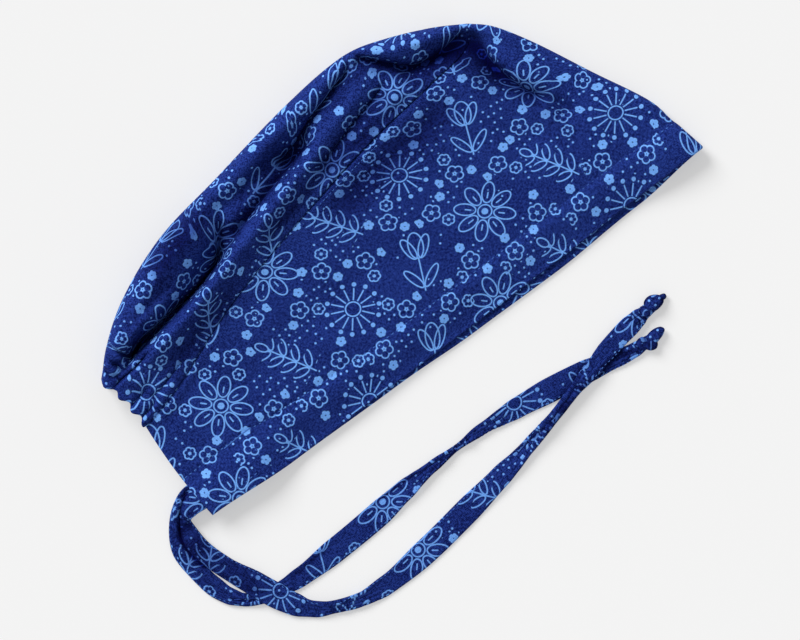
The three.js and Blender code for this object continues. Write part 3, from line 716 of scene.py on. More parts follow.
# Stations along each strap: ahead and aside place them, in shares of its length, and width and wall
# are shares of its own. over counts straps under it, and inside is 1 in the casing.
tieColumns = ("ahead", "aside", "width", "curl", "over", "wall", "roll", "inside")
plainStrap = {"curl": 0, "over": 0, "wall": 1, "roll": 0, "inside": 0}
nearTie = [
    (0.04, 0, 0.87, -0.3, 0, 1, 0, 1),
    (0, 0, 0.84, -0.3, 0, 1, 0, 1),
    (-0.02, 0, 0.78, -0.3, 0.3, 1, 0, 0.8),
    (-0.036, -0.003, 0.74, -0.3, 1, 1.1, 0, 0.35),
    (-0.0445, -0.013, 0.72, -0.3, 1.05, 1.1, 0, 0.1),
    (-0.0457, -0.03, 0.71, -0.3, 1.05, 1.1),
    (-0.0445, -0.061, 0.74, -0.3, 1.05),
    (-0.032, -0.103, 0.76, -0.3, 1.05),
    (-0.011, -0.149, 0.9, -0.3, 1.2),
    (0.002, -0.179, 0.92, -0.3, 1.2),
    (0.016, -0.206, 0.84, -0.4, 0.5, 1, 6),
    (0.035, -0.23, 0.62, 0.3, 0, 1.2, 20),
    (0.062, -0.246, 0.4, 0.5, 0, 1.7, 25),
    (0.098, -0.26, 0.48, 0.5, 0, 1.5, 15),
    (0.14, -0.266, 0.72, 0.3, 0, 1, 8),
    (0.22, -0.261, 0.92, -0.2),
    (0.3, -0.25, 0.93, -0.2),
    (0.37, -0.239, 0.78, -0.2, 0, 1, -6),
    (0.43, -0.228, 0.48, 0.4, 0, 1.4, -15),
    (0.49, -0.2145, 0.28, 0.5, 0.8, 2, -10),
    (0.53, -0.2035, 0.3, 0.5, 1.05, 2, -10),
    (0.573, -0.193, 0.58, 0.2, 1.05, 1.4, -8),
    (0.613, -0.183, 0.69, -0.3, 1.05),
    (0.653, -0.176, 0.74, -0.3, 1.05),
    (0.672, -0.1735, 0.6, -0.4, 0.8, 1.3),
    (0.685, -0.1725, 0.36, -0.4, 0.4, 2),
    (0.7, -0.1715, 0.34, -0.4, 0.3, 1.6),
]
farTie = [
    (0.04, 0.004, 0.8, -0.3, 0, 1, 0, 1),
    (-0.008, 0.011, 0.78, -0.3, 0, 1, 0, 1),
    (-0.028, 0.004, 0.76, -0.3, 0, 1, 0, 0.6),
    (-0.05, -0.015, 0.76, -0.3),
    (-0.0675, -0.045, 0.74, -0.3),
    (-0.068, -0.083, 0.68, -0.3),
    (-0.0617, -0.1165, 0.7, -0.3),
    (-0.0527, -0.1395, 0.6, -0.1),
    (-0.0395, -0.157, 0.42, 0.1, 0, 1.15),
    (-0.02, -0.17, 0.34, 0.2, 0, 1.4),
    (0.009, -0.177, 0.5, -0.1, 0, 1.1),
    (0.05, -0.181, 0.72, -0.2, 0, 1, 6),
    (0.113, -0.18, 0.9, -0.2, 0, 1, 4),
    (0.193, -0.176, 0.92, -0.2),
    (0.245, -0.1705, 0.76, 0.1, 0, 1, -10),
    (0.3, -0.167, 0.36, 0.5, 0, 1.3, -15),
    (0.345, -0.1663, 0.12, 0.5, 0, 1.4, -10),
    (0.393, -0.167, 0.36, 0.5, 0, 1.3, 15),
    (0.453, -0.173, 0.76, -0.1, 0, 1, 5),
    (0.507, -0.181, 0.9, -0.2),
    (0.56, -0.19, 0.86, -0.2),
    (0.613, -0.203, 0.6, -0.2),
    (0.64, -0.208, 0.46, -0.4, 0, 1.4),
    (0.655, -0.209, 0.34, -0.4, 0, 2),
    (0.672, -0.21, 0.3, -0.4, 0, 1.6),
]

# Folds of the straps, with the columns of the creases; their shade is painted shade as well
plainFold = {**plainCrease, "sharp": 1.6}
nearTieFolds = [
    # turned corner outside the mouth
    ([(-9.6, 4), (-12.5, 4), (-17, 4.4)], -0.6, 3.4, 0.5, 0.85, 0.12),
    ([(-2, 15.4), (-6, 13.4), (-10, 10.4), (-14, 6), (-17, 1.4), (-18.3, -4)], -2, 1, 1, 1, 0.1),
    ([(-13.6, -1), (-13, -6), (-11.5, -13)], 0, 4, 4, 0.5),
    ([(-16.5, -8), (-13.6, -22), (-6, -36), (5, -51)], -0.3, 0.9, 1.4, 0.45, 0.3, 1.8),
    ([(-12.5, 8), (-16.8, 2.6), (-18.3, -4), (-17.8, -12), (-15.6, -20)], 0, 0.8, 0.8, 0.97, 0.12),
    ([(-3, 6.8), (-9, 6.2), (-12, 5.4)], -0.3, 0.6, 0.6, 0.4),
    ([(-13.5, 1), (-12.6, -12), (-7, -28), (3, -46)], 0, 5, 5, 0.5, 0.2),
    # twist
    ([(116, -58.6), (132, -57.4), (143, -56.2), (151, -54.2), (160, -51.2), (168, -48.4)],
     -0.6, 0.8, 0.8, 0.95, 0.2),
    ([(132, -60.4), (142, -58.2), (150, -56), (158, -53.2)], -0.3, 0.6, 0.6, 0.7),
    # turned-back edge up to the knot
    ([(158, -52.4), (166, -51.6), (176, -50.6), (188, -49.6), (199, -47.8)],
     -0.6, 0.6, 0.7, 0.95, 0.15),
    ([(154, -50.6), (162, -47.8), (170, -45.6), (177, -44.2)], -0.3, 0.8, 0.8, 0.6, 0.2),
    # gathers at the knot
    ([(196, -42), (207, -42.3)], -0.6, 0.6, 0.6, 0.9),
    ([(197, -45.4), (207, -43.6)], -0.6, 0.6, 0.6, 0.9),
    ([(198, -40.2), (207, -41.2)], -0.4, 0.5, 0.5, 0.8),
]
farTieFolds = [
    ([(-1, 16), (-6, 13.8), (-10, 10.8), (-14, 6.4), (-17, 1.6), (-18.4, -4)], -0.8, 1, 1, 1, 0.1),
    ([(-9, 14), (-14.2, 8), (-17.6, 1.5), (-18.4, -6), (-17.8, -13), (-16, -19)],
     -0.5, 1.2, 1.2, 0.98, 0.12),
    ([(-21.8, -2), (-21, -12), (-19.6, -24), (-15, -34)], -0.3, 1.3, 1.3, 0.35, 0.3, 1.8),
    # drawn together where it goes under the near tie
    ([(-18, -32.5), (-12, -38.2), (-5, -43.4)], -0.6, 0.8, 0.8, 0.9),
    ([(5, -41.6), (14, -42.8), (26, -42.4), (40, -41.4)], -0.3, 1.4, 1, 0.55, 0.3, 1.8),
    # twist
    ([(56, -38.8), (72, -38.5), (84, -39.4), (95, -40.6), (104, -41), (113, -40.6)],
     -0.5, 0.6, 0.6, 0.75, 0.15),
    ([(82, -42), (92, -41.8), (100, -40.6), (110, -39.8)], -0.3, 0.4, 0.4, 0.5),
    ([(98, -40.4), (108, -39.6), (122, -39.2)], -0.3, 0.6, 0.6, 0.5),
    # painted shadow beside and under the near tie
    ([(150, -51.6), (158, -50.4), (166, -47.6), (174, -44.8), (180, -43.5)], 0, 1.6, 1.6, 0.9, 0.12),
    ([(168, -53.4), (178, -51.2), (190, -50.6)], 0, 1, 1.4, 0.7, 0.2),
    # gathers at the knot
    ([(184, -52.2), (196, -52.8)], -0.6, 0.6, 0.6, 0.9),
    ([(184, -54.6), (196, -54.2)], -0.5, 0.6, 0.6, 0.85),
]


def tieShell(rows, folds, insideHeight, paintedShade, seed):
    length, width = tieWork["length"], tieWork["width"]
    stations = named(tieColumns, rows, plainStrap)
    table = {name: np.array([station[name] for station in stations], float) for name in tieColumns}
    centres = np.stack([table["ahead"] * length, cap["casingDepth"] / 2 + table["aside"] * length], -1)
    route = curveThrough(centres, math.ceil(tieWork["steps"] / (len(rows) - 1)))
    t = np.linspace(0, len(rows) - 1, len(route))
    at = np.minimum(t.astype(int), len(rows) - 2)
    s = ease(t - at, 0, 1)
    value = {name: (v[at] * (1 - s) + v[at + 1] * s)[:, None] for name, v in table.items()}
    run = np.gradient(route, axis=0)
    run /= np.linalg.norm(run, axis=1, keepdims=True)
    walk = walked(route)[:, None]
    # Curl of the strap that gives it the width that shows; past the most it bunches up in pleats
    angles = np.linspace(0.02, tieWork["mostCurl"], 200)
    curl = np.interp(-value["width"], -np.sin(angles) / angles, angles)
    bunched = np.minimum(1, value["width"] * curl / np.sin(curl))
    radius = width / (2 * curl)
    q = np.linspace(-1, 1, tieWork["columns"])[None, :]
    across = radius * np.sin(curl * q) * bunched
    arch = radius * (np.cos(curl * q) - np.cos(curl)) * tieWork["flattening"] * -value["curl"]
    wave = np.cos(2 * np.pi * tieWork["pleats"] * q + walk / tieWork["pleatDrift"])
    arch = arch * bunched + tieWork["pleatDepth"] * (1 - bunched) * wave
    cloth = np.broadcast_arrays(walk, q * tieWork["rumpleWidth"])
    arch = arch + tieWork["rumple"] * softNoise(*cloth, tieWork["rumpleSize"], seed)
    roll = np.radians(value["roll"])
    level = across * np.cos(roll) - arch * np.sin(roll)
    up = across * np.sin(roll) + arch * np.cos(roll)
    # In a tight turn the inner side is folded to a corner
    heading = np.unwrap(np.arctan2(run[:, 1], run[:, 0]))
    bend = np.gradient(heading)[:, None] / np.gradient(walk[:, 0])[:, None]
    limit = tieWork["cornerRoom"] / np.maximum(np.abs(bend), 1e-3)
    level = np.where(bend > 0, np.minimum(level, limit), np.maximum(level, -limit))
    x = route[:, :1] - run[:, 1:] * level
    y = route[:, 1:] + run[:, :1] * level
    wall = tieWork["wall"] * (1 - tieWork["edgeThinning"] * q**8) * (1 + (value["wall"] - 1) * (1 - q**4))
    lift = value["inside"] * insideHeight + value["over"] * (tieWork["wall"] + tieWork["clearance"])
    z = up + (wall / 2 - up).max(axis=1, keepdims=True) + lift
    height, _, _, shade = creased(x, y, folds, plainFold, 0)
    z = np.maximum(z + height * (1 - q**4), wall / 2 + tieWork["tableGap"])
    # painted shade in the hollows of the pleats, and over the whole strap
    pleatShade = tieWork["pleatPaintedShade"] * (1 - bunched) * np.clip(-wave, 0, 1)
    shade = 1 - (1 - shade) * (1 - pleatShade) * (1 - paintedShade)
    middle = np.stack([x, y, z], -1)
    flat = np.stack(np.broadcast_arrays(walk, width / 2 * q), -1)
    edges = [(1, True, True), (0, True, True)]
    return clothShell(middle, wall, flat, shade, edges, tieWork["edgeRadius"]), thicken(middle, wall)[0]


# Knots: the lobes of cloth that each shows, as closed outlines, with the way their creases run

knotWork = {
    "steps": 27,
    "outlineSteps": 8,
    "leastDome": 0.004,
    "creaseStretch": 4,
    "creaseSize": 1.3,
    "creaseHeight": 0.45,
    "creasePaintedShade": 0.65,
    "creaseSharp": 1.5,
    "rimPaintedShade": 0.5,
    "rimStart": 0.6,
}
# Each lobe's own painted shade darkens the whole of it
knotColumns = ("outline", "low", "high", "creaseTurn", "paintedShade", "shift")
plainLobe = {"shift": 0}  # moves the print on it
nearKnot = [
    ([(203.6, -40.2), (205.6, -39.4), (207.6, -40.4), (208.6, -42.4), (207.4, -44.6), (205, -45.4),
      (203.2, -43.4)], 0.2, 4.6, 80, 0.45),
    ([(206.4, -41), (208, -38.6), (211, -37.8), (213.8, -38.9), (215.8, -41.2), (215.2, -43.6),
      (212.4, -44.8), (209, -44.7), (206.8, -43.2)], 0.2, 5.4, 20, 0.12, 12),
    ([(214.4, -40.4), (216, -40.4), (217.6, -41.2), (217.4, -42.8), (215.6, -43.2), (214.2, -42.4)],
     0.5, 3.4, 60, 0.3),
]
farKnot = [
    ([(193.6, -51.4), (196, -50.2), (198.4, -50.6), (199.4, -53), (198.4, -55.6), (195.6, -56),
      (193.6, -54.4)], 0.2, 4.2, 75, 0.5),
    ([(195.4, -54.4), (198.2, -53.2), (201.4, -54.2), (202.2, -56.4), (200.4, -58.3), (197.6, -57.6)],
     0.2, 4.8, 130, 0.2, 9),
    ([(198.6, -51.8), (201.4, -50.9), (204.8, -50.8), (207.4, -51.8), (208.2, -53.6), (206.2, -55.2),
      (203, -56.2), (199.8, -56.6), (198.2, -54.4)], 0.3, 4.4, 60, 0.12, 8.5),
]


def knotLobe(lobe, seed):
    ring = curveThrough([*lobe["outline"], lobe["outline"][0]], knotWork["outlineSteps"])[:-1]
    centre = ring.mean(axis=0)
    angle = np.arctan2(*(ring - centre).T[::-1])
    reach = np.hypot(*(ring - centre).T)
    order = np.argsort(angle)
    steps = np.linspace(-1, 1, knotWork["steps"])
    s, t = np.meshgrid(steps, steps, indexing="ij")
    dx, dy = s * np.sqrt(1 - t * t / 2), t * np.sqrt(1 - s * s / 2)
    here = np.interp(np.arctan2(dy, dx), angle[order], reach[order], period=2 * np.pi)
    x, y = centre[0] + here * dx, centre[1] + here * dy
    dome = np.sqrt(np.maximum(knotWork["leastDome"], 1 - dx * dx - dy * dy))
    turn = math.radians(lobe["creaseTurn"])
    alongCrease = x * math.cos(turn) + y * math.sin(turn)
    acrossCrease = y * math.cos(turn) - x * math.sin(turn)
    fold = softNoise(alongCrease / knotWork["creaseStretch"], acrossCrease, knotWork["creaseSize"], seed)
    middle = (lobe["low"] + lobe["high"]) / 2
    half = (lobe["high"] - lobe["low"]) / 2
    top = middle + half * dome + knotWork["creaseHeight"] * dome * fold
    points = np.concatenate([np.stack([x, y, z], -1).reshape(-1, 3) for z in (top, middle - half * dome)])
    # painted shade towards the lobe's rim and in the hollows of its creases
    rim = knotWork["rimPaintedShade"] * ease(np.hypot(dx, dy), knotWork["rimStart"], 1)
    hollow = knotWork["creasePaintedShade"] * np.clip(-fold * knotWork["creaseSharp"], 0, 1)
    shade = 1 - (1 - lobe["paintedShade"]) * (1 - hollow) * (1 - rim)
    place = np.stack([alongCrease + lobe["shift"], acrossCrease, shade], -1).reshape(-1, 3)
    return points, sheetFaces(*x.shape), np.concatenate([place, place])


def knotLobes(rows, seed):
    return [knotLobe(lobe, seed + k) for k, lobe in enumerate(named(knotColumns, rows, plainLobe))]


# Shader maths: a wire is a socket that can be reckoned with

def feed(node, values):
    for name, value in values.items():
        if isinstance(value, Wire):
            value.tree.links.new(value.socket, node.inputs[name])
        else:
            node.inputs[name].default_value = value


class Wire:
    def __init__(self, tree, socket=None):
        self.tree = tree
        self.socket = socket

    def node(self, kind, values=None, output=0, **settings):
        made = self.tree.nodes.new(kind)
        for name, value in settings.items():
            setattr(made, name, value)
        feed(made, values or {})
        return Wire(self.tree, made.outputs[output])

    def maths(self, operation, *others):
        return self.node("ShaderNodeMath", dict(enumerate((self, *others))), operation=operation)

    def __add__(self, other):
        return self.maths("ADD", other)

    def __sub__(self, other):
        return self.maths("SUBTRACT", other)

    def __mul__(self, other):
        return self.maths("MULTIPLY", other)

    def __truediv__(self, other):
        return self.maths("DIVIDE", other)

    def __mod__(self, other):
        return self.maths("FLOORED_MODULO", other)

    def __abs__(self):
        return self.maths("ABSOLUTE")

    def __neg__(self):
        return self.maths("MULTIPLY", -1.0)

    def __rsub__(self, other):
        return (-self) + other

    __radd__ = __add__
    __rmul__ = __mul__


def combined(*parts):
    return parts[0].node("ShaderNodeCombineXYZ", dict(enumerate(parts)))


def hypot(x, y):
    flat = combined(x, y)
    return flat.node("ShaderNodeVectorMath", {0: flat}, "Value", operation="LENGTH")


def cellOf(value, pitch):
    return (value / pitch).maths("FLOOR")


def chanceIn(cell):
    return cell.node("ShaderNodeTexWhiteNoise", {"Vector": cell}, "Value", noise_dimensions="3D")


def noiseAt(place, scale, detail):
    return place.node("ShaderNodeTexNoise", {"Vector": place, "Scale": scale, "Detail": detail})


def mixed(factor, first, second, blend="MIX"):
    # Colours, as wires or as three numbers
    first, second = (c if isinstance(c, Wire) else (*c, 1) for c in (first, second))
    values = {"Factor": factor, 6: first, 7: second}
    return factor.node("ShaderNodeMix", values, 2, data_type="RGBA", blend_type=blend)


def newMaterial(name):
    material = bpy.data.materials.new(name)
    material.use_nodes = True
    return material, material.node_tree.nodes["Principled BSDF"]


def turned(x, y, degrees):
    c, s = math.cos(math.radians(degrees)), math.sin(math.radians(degrees))
    return x * c + y * s, y * c - x * s


def petalled(x, y, count, start=0.0):
    # Folds the plane so that one petal along x stands for all of them
    sector = 2 * math.pi / count
    angle = y.maths("ARCTAN2", x) + math.radians(start) + sector / 2
    angle = angle % sector - sector / 2
    radius = hypot(x, y)
    return radius * angle.maths("COSINE"), radius * angle.maths("SINE")


def ovalEdge(x, y, long, wide):
    # Nearly the distance to an oval's edge, negative inside
    near = hypot(x * (1 / long), y * (1 / wide))
    steep = hypot(x * (1 / long**2), y * (1 / wide**2))
    return near * (near - 1) / steep


def stroke(x, y, start, end):
    # Distance to a straight stroke along x
    over = abs(x - (start + end) / 2) - (end - start) / 2
    return hypot(over.maths("MAXIMUM", 0.0), y)


def nearest(first, *others):
    for other in others:
        first = first.maths("MINIMUM", other)
    return first


# Print: each large motif gives the distance to its drawn lines and to its filled parts

printing = {
    "ground": (0.019, 0.047, 0.275),
    "deepGround": (0.003, 0.009, 0.09),
    # colour that the painted shade multiplies the cloth by where it is deepest
    "paintedShadeColour": (0.006, 0.016, 0.19),  # what the deepest creases are multiplied by
    "ink": (0.185, 0.44, 1.0),
    "pitch": (36.0, 38.0),  # between the large motifs, along and across the cloth
    "line": 0.3,  # half width of a drawn line
    "softEdge": (0.14, -0.1),
    "none": 40.0,  # distance to what a motif doesn't have
    "gapMiddle": 4.3,
    "gapSpin": 6.28,
    "dotPitch": 3.5,
    "dotRadius": 0.5,
    "dotRoom": 0.9,
    "dotShare": 0.72,
    "clumpScale": 0.31,
    "clumpShare": 0.47,
}


def daisy(x, y):
    px, py = petalled(x, y, 8)
    petal = abs(ovalEdge(px - 9.0, py, 4.9, 2.7))
    heart = abs(hypot(x, y) - 3.1)
    vein = stroke(px, py, 6.4, 8.8)
    return nearest(petal, heart, vein), hypot(x, y) - 1.5


def sprig(x, y):
    x, y = turned(x, y, 28)
    leafRun = (y + 12.4) % 6.2 - 1.2
    lx, ly = turned(abs(x), leafRun, 38)
    leaf = abs(ovalEdge(lx - 4.6, ly, 3.9, 1.6))
    leaf = leaf.maths("MAXIMUM", abs(y + 1.5) - 10.9)
    tip = abs(ovalEdge(y - 12.2, x, 3.0, 1.7))
    return nearest(leaf, tip, stroke(y, x, -14.0, 9.2)), printing["none"]


def tulip(x, y):
    x, y = turned(x, y, -24)
    heart = abs(ovalEdge(y - 7.2, x, 6.2, 3.3))
    sx, sy = turned(abs(x) - 3.3, y - 6.2, -24)
    wing = abs(ovalEdge(sy, sx, 5.6, 2.1))
    lx, ly = turned(abs(x) - 4.0, y + 8.0, -38)
    leaf = abs(ovalEdge(ly, lx, 5.6, 1.7))
    return nearest(heart, wing, leaf, stroke(y, x, -14.0, 1.2)), printing["none"]


def seedHead(x, y):
    px, py = petalled(x, y, 14)
    spoke = stroke(px, py, 4.4, 9.6)
    ring = abs(hypot(x, y) - 3.3)
    return nearest(spoke, ring), hypot(px - 11.6, py) - 1.0


# Small blossoms in each gap between three large motifs, round its middle
fillers = [
    {"x": 0.4, "y": 0.2, "size": 4.1, "petals": 5, "start": 12, "open": True},
    {"x": 7.4, "y": 3.0, "size": 2.3, "petals": 6, "start": 0, "open": False},
    {"x": -5.4, "y": 6.2, "size": 2.8, "petals": 6, "start": 50, "open": True},
    {"x": -5.6, "y": -5.6, "size": 2.4, "petals": 5, "start": 20, "open": False},
]


def blossom(x, y, filler):
    px, py = petalled(x - filler["x"], y - filler["y"], filler["petals"], filler["start"])
    return hypot(px - 0.55 * filler["size"], py) - 0.42 * filler["size"]


def largeMotifs(x, y):
    # Every other row is shifted by half a pitch
    pitchX, pitchY = printing["pitch"]
    row = cellOf(y, pitchY)
    shifted = x + (row % 2.0) * (pitchX / 2)
    column = cellOf(shifted, pitchX)
    localX = shifted - (column + 0.5) * pitchX
    localY = y - (row + 0.5) * pitchY
    kind = (column + row * 3.0) % 4.0
    drawn, filled = 0.0, 0.0
    for k, motif in enumerate((daisy, sprig, seedHead, tulip)):
        line, solid = motif(localX, localY)
        chosen = kind.maths("COMPARE", float(k), 0.25)
        drawn, filled = line * chosen + drawn, solid * chosen + filled
    return drawn, filled


def inGap(x, y):
    # Place in the gap between three large motifs, turned by chance
    pitchX, pitchY = printing["pitch"]
    between = cellOf(y + pitchY / 2, pitchY)
    beside = x - pitchX / 4 + (between % 2.0) * (pitchX / 2) - pitchX / 2
    column = cellOf(beside, pitchX)
    pairX = beside - (column + 0.5) * pitchX
    way = pairX.maths("SIGN")
    along = pairX * way - pitchX / 4
    across = (y - between * pitchY) * way + printing["gapMiddle"]
    spin = chanceIn(combined(column, between, way)) * printing["gapSpin"]
    c, s = spin.maths("COSINE"), spin.maths("SINE")
    return along * c + across * s, across * c - along * s


def dotEdge(x, y, reach):
    # Dots in clumps, where the cloth is still bare; each lies in the middle half of its cell
    pitch = printing["dotPitch"]
    column, row = cellOf(x, pitch), cellOf(y, pitch)
    cell = combined(column, row, 0.5)
    chance = chanceIn(cell)
    values = {"Vector": cell, "W": 7.0}
    other = cell.node("ShaderNodeTexWhiteNoise", values, "Value", noise_dimensions="4D")
    dotX = x - (column + 0.25 + chance % 0.5) * pitch
    dotY = y - (row + 0.25 + other * 0.5) * pitch
    clump = noiseAt(cell, printing["clumpScale"], 0.0).maths("LESS_THAN", printing["clumpShare"])
    present = other.maths("LESS_THAN", printing["dotShare"]) * clump
    room = (reach - printing["dotRoom"]).maths("MINIMUM", printing["dotRadius"]) * present
    return hypot(dotX, dotY) - room + (1 - present)


def inked(edge):
    # 1 within the drawn edge, 0 outside, over a soft tenth or two of a millimetre
    outside, inside = printing["softEdge"]
    values = {"Value": edge, "From Min": outside, "From Max": inside}
    return edge.node("ShaderNodeMapRange", values, "Result", clamp=True)


def printInk(x, y):
    drawn, filled = largeMotifs(x, y)
    gapX, gapY = inGap(x, y)
    for filler in fillers:
        edge = blossom(gapX, gapY, filler)
        if filler["open"]:
            drawn = nearest(drawn, abs(edge))
        else:
            filled = nearest(filled, edge)
    dot = dotEdge(x, y, nearest(drawn, filled))
    lines = inked(drawn - printing["line"])
    return lines.maths("MAXIMUM", inked(filled)).maths("MAXIMUM", inked(dot))


cotton = {
    "thread": (2.7, 0.7),  # slubs to the millimetre, across and along a thread
    "tone": 0.52,
    "threadTone": 5.0,
    "cloudScale": 0.05,
    "cloudTone": 0.9,
    "inkCover": 0.92,
    "inkWear": 0.7,
    "roughness": 0.84,
    "threadRoughness": 0.12,
    "specular": 0.05,
    "bump": 0.7,
    "bumpDepth": 0.0003,
}


def printedCotton(name, turn, shift):
    material, shader = newMaterial(name)
    start = Wire(material.node_tree)
    place = start.node("ShaderNodeAttribute", {}, "Vector", attribute_name="clothPlace")
    values = {"Vector": place, "Rotation": (0, 0, math.radians(turn)), "Location": (*shift, 0)}
    place = place.node("ShaderNodeMapping", values)
    parts = place.node("ShaderNodeSeparateXYZ", {0: place}).socket.node
    x, y, shade = (Wire(start.tree, part) for part in parts.outputs)
    ink = printInk(x, y)
    across, along = cotton["thread"]
    warp, weft = (
        noiseAt(place.node("ShaderNodeMapping", {"Vector": place, "Scale": scale}), 1.0, 2.0)
        for scale in ((across, along, 1), (along, across, 1))
    )
    thread = warp + weft - 1.0
    cloudy = noiseAt(place, cotton["cloudScale"], 3.0)
    tone = cotton["tone"] + thread * cotton["threadTone"] + (cloudy - 0.5) * cotton["cloudTone"]
    ground = mixed(tone, printing["deepGround"], printing["ground"])
    wornInk = ink * (cotton["inkCover"] + thread * cotton["inkWear"])
    colour = mixed(wornInk, ground, printing["ink"])
    relief = {"Height": thread, "Strength": cotton["bump"], "Distance": cotton["bumpDepth"]}
    # Base colour darkened by the painted shade carried in clothPlace
    feed(shader, {
        "Base Color": mixed(shade, colour, printing["paintedShadeColour"], "MULTIPLY"),
        "Roughness": cotton["roughness"] + thread * cotton["threadRoughness"],
        "Specular IOR Level": cotton["specular"],
        "Normal": thread.node("ShaderNodeBump", relief),
    })
    return material


# Stitches

stitching = {
    "uneven": 0.16,
    "thread": (0.06, 0.22, 0.75),
    "threadShadow": 0.5,  # colour of its darkest strands over its own
    "strandScale": 2600.0,
    "roughness": 0.55,
    "strandRoughness": 0.2,
    "bump": 0.4,
    "bumpDepth": 0.0001,
    "raised": 0.02,
    "tieRun": (2.1, 1.3, 0.34),
    "tieInset": 1.1,
}
bandStitching = [  # line, and the spacing, length and thickness of its stitches
    (casingStitch, 2.5, 1.5, 0.42),
    ([(32.2, 20.6), (32.4, 12), (32.1, 4.6)], 2.3, 1.4, 0.34),
    ([(11, 3.1), (18, 2.9), (26, 3.2)], 2.3, 1.4, 0.34),
    ([(22, 20.5), (36, 21)], 0.62, 0.95, 0.5),  # bar tack
    ([(118, 80.6), (136, 83.8), (154, 86.6)], 2.0, 1.3, 0.3),
]
nearTieSeams = [(0.05, 0.72, 1), (0.72, 0.955, -1)]  # start and end along the strap, side
farTieSeams = [(0.06, 0.96, -1)]
stitchInputs = {
    "Path": "Geometry", "Spacing": "Float", "Length": "Float", "Thickness": "Float",
    "Uneven": "Float", "Seed": "Int", "Thread": "Material",
}


def stitchTree():
    tree = bpy.data.node_groups.new("stitchRun", "GeometryNodeTree")
    for name, kind in stitchInputs.items():
        tree.interface.new_socket(name, in_out="INPUT", socket_type="NodeSocket" + kind)
    tree.interface.new_socket("Stitches", in_out="OUTPUT", socket_type="NodeSocketGeometry")
    given = {socket.name: Wire(tree, socket) for socket in tree.nodes.new("NodeGroupInput").outputs}
    make = Wire(tree).node
    curve = make("GeometryNodeMeshToCurve", {"Mesh": given["Path"]})
    values = {"Curve": curve, "Length": given["Spacing"]}
    spots = make("GeometryNodeResampleCurve", values, mode="LENGTH")
    thread = make("GeometryNodeMeshUVSphere", {"Segments": 6, "Rings": 5, "Radius": 0.5})
    size = combined(given["Length"], given["Thickness"], given["Thickness"])
    thread = make("GeometryNodeTransform", {"Geometry": thread, "Scale": size})
    turn = make("FunctionNodeAlignRotationToVector", {"Vector": make("GeometryNodeInputTangent")}, axis="X")
    least, most = (combined(*[bound] * 3) for bound in (1 - given["Uneven"], 1 + given["Uneven"]))
    values = {0: least, 1: most, "Seed": given["Seed"]}
    vary = make("FunctionNodeRandomValue", values, data_type="FLOAT_VECTOR")
    values = {"Points": spots, "Instance": thread, "Rotation": turn, "Scale": vary}
    placed = make("GeometryNodeInstanceOnPoints", values)
    real = make("GeometryNodeRealizeInstances", {"Geometry": placed})
    sewn = make("GeometryNodeSetMaterial", {"Geometry": real, "Material": given["Thread"]})
    feed(tree.nodes.new("NodeGroupOutput"), {"Stitches": sewn})
    return tree


def sewnLine(name, tree, thread, line, spacing, length, thickness, seed):
    path = bpy.data.meshes.new(name + "Path")
    path.from_pydata(toFrame(line).tolist(), [(k, k + 1) for k in range(len(line) - 1)], [])
    piece = inScene(name, path)
    run = piece.modifiers.new("stitches", "NODES")
    run.node_group = tree
    inputs = {
        "Spacing": spacing * mm, "Length": length * mm, "Thickness": thickness * mm,
        "Uneven": stitching["uneven"], "Seed": seed, "Thread": thread,
    }
    for item in tree.interface.items_tree:
        if item.name in inputs:
            run[item.identifier] = inputs[item.name]
    evaluated = piece.evaluated_get(bpy.context.evaluated_depsgraph_get())
    stitches = bpy.data.meshes.new_from_object(evaluated)
    piece.modifiers.remove(run)
    bpy.data.objects.remove(piece)
    return stitches


def sewnPiece(name, tree, thread, runs):
    # One mesh of all the runs, each (line, spacing, length, thickness)
    points, faces = [], []
    for seed, run in enumerate(runs):
        part = sewnLine(name, tree, thread, *run, seed)
        start = len(points)
        points += [tuple(v.co) for v in part.vertices]
        faces += [tuple(start + k for k in face.vertices) for face in part.polygons]
        bpy.data.meshes.remove(part)
    sewn = bpy.data.meshes.new(name)
    sewn.from_pydata(points, [], faces)
    sewn.polygons.foreach_set("use_smooth", np.ones(len(faces), bool))
    sewn.materials.append(thread)
    return inScene(name, sewn)


def onBand(points):
    line = curveThrough(points, 30)
    x, y = line[:, 0], line[:, 1]
    wall = bandWall(y / cap["casingDepth"])
    middle = wallPoints(x, y, np.ones(len(x)), wall)[0]
    middle[:, 2] += wall / 2 + stitching["raised"] - bandSettling(x, y)
    return middle


def onStrap(top, start, end, side):
    # top is the strap's upper surface, along it and from its right edge to its left
    rows, columns = top.shape[:2]
    inset = 1 - 2 * stitching["tieInset"] / tieWork["width"]
    column = round((columns - 1) * (1 + side * inset) / 2)
    line = top[int(start * rows):int(end * rows), column].copy()
    line[:, 2] += stitching["raised"]
    return line


def tieStitches(name, tree, thread, top, seams):
    return sewnPiece(name, tree, thread, [(onStrap(top, *seam), *stitching["tieRun"]) for seam in seams])


def sewingThread():
    material, shader = newMaterial("blueThread")
    place = Wire(material.node_tree).node("ShaderNodeTexCoord", {}, "Object")
    strands = noiseAt(place, stitching["strandScale"], 2.0)
    shadow = tuple(stitching["threadShadow"] * c for c in stitching["thread"])
    relief = {"Height": strands, "Strength": stitching["bump"], "Distance": stitching["bumpDepth"]}
    feed(shader, {
        "Base Color": mixed(strands, shadow, stitching["thread"]),
        "Roughness": stitching["roughness"] + strands * stitching["strandRoughness"],
        "Normal": strands.node("ShaderNodeBump", relief),
    })
    return material


# Table

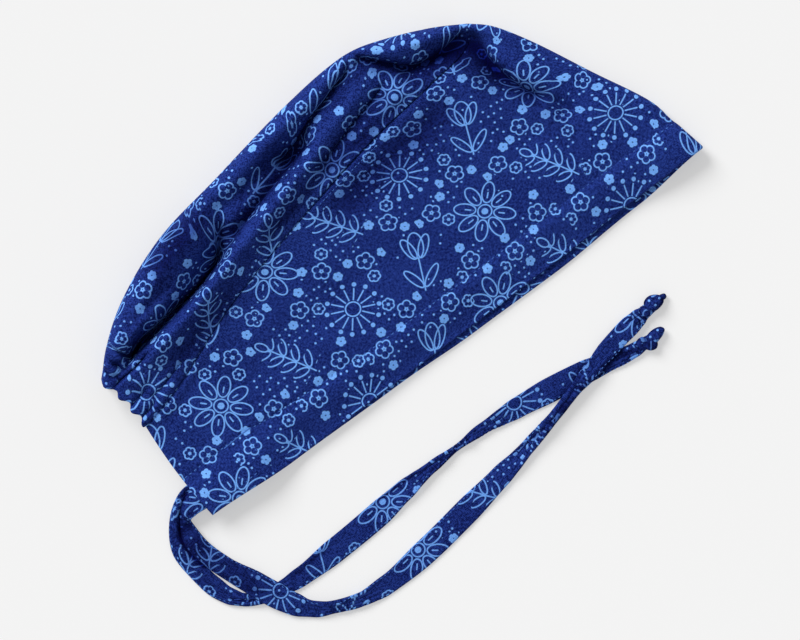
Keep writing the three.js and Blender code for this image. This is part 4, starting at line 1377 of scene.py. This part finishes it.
def layTable():
    half = studio["tableSize"] / 2
    corners = [(-half, -half, 0), (half, -half, 0), (half, half, 0), (-half, half, 0)]
    top = bpy.data.meshes.new("table")
    top.from_pydata(corners, [], [(0, 1, 2, 3)])
    material, shader = newMaterial("paleTable")
    feed(shader, {
        "Base Color": (*[studio["table"]] * 3, 1),
        "Emission Color": (1, 1, 1, 1),
        "Emission Strength": studio["tableGlow"],
        "Roughness": 1,
        "Specular IOR Level": 0,
    })
    top.materials.append(material)
    inScene("table", top)


placeCamera()
placeLights()
layTable()
print("stage set")

crownPiece = crownCloth()
bandPiece = bandCloth()
nearShell, nearTop = tieShell(nearTie, nearTieFolds, nearInside, tieWork["nearPaintedShade"], 21)
farShell, farTop = tieShell(farTie, farTieFolds, farInside, tieWork["farPaintedShade"], 22)
nearTiePiece = clothPiece("nearTieCloth", nearShell, *knotLobes(nearKnot, 31))
farTiePiece = clothPiece("farTieCloth", farShell, *knotLobes(farKnot, 41))
print("cloth laid and knots tied")

crownPiece.data.materials.append(printedCotton("crownCotton", 52, (7, 11)))
bandPiece.data.materials.append(printedCotton("bandCotton", 0, (4, 20)))
tieCotton = printedCotton("tieCotton", 0, (9, 16))
nearTiePiece.data.materials.append(tieCotton)
farTiePiece.data.materials.append(tieCotton)
print("cotton printed")

run, thread = stitchTree(), sewingThread()
bandRuns = [(onBand(line), *stitch) for line, *stitch in bandStitching]
bandStitches = sewnPiece("bandStitches", run, thread, bandRuns)
nearTieStitches = tieStitches("nearTieStitches", run, thread, nearTop, nearTieSeams)
farTieStitches = tieStitches("farTieStitches", run, thread, farTop, farTieSeams)
print("seams stitched")

dressing = [
    (crownPiece, "crown_panel", "crown_cotton", crown["flat"], crown["area"], ()),
    (bandPiece, "side_band", "band_cotton", band["flat"], band["area"], (bandStitches,)),
    (nearTiePiece, "tie_near", "tie_cotton", tieWork["flat"], None, (nearTieStitches,)),
    (farTiePiece, "tie_far", "tie_cotton", tieWork["flat"], None, (farTieStitches,)),
]
for piece, node, slot, flat, area, stitches in dressing:
    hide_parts(node)
    for laid in (piece, *stitches):
        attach(laid, "root")
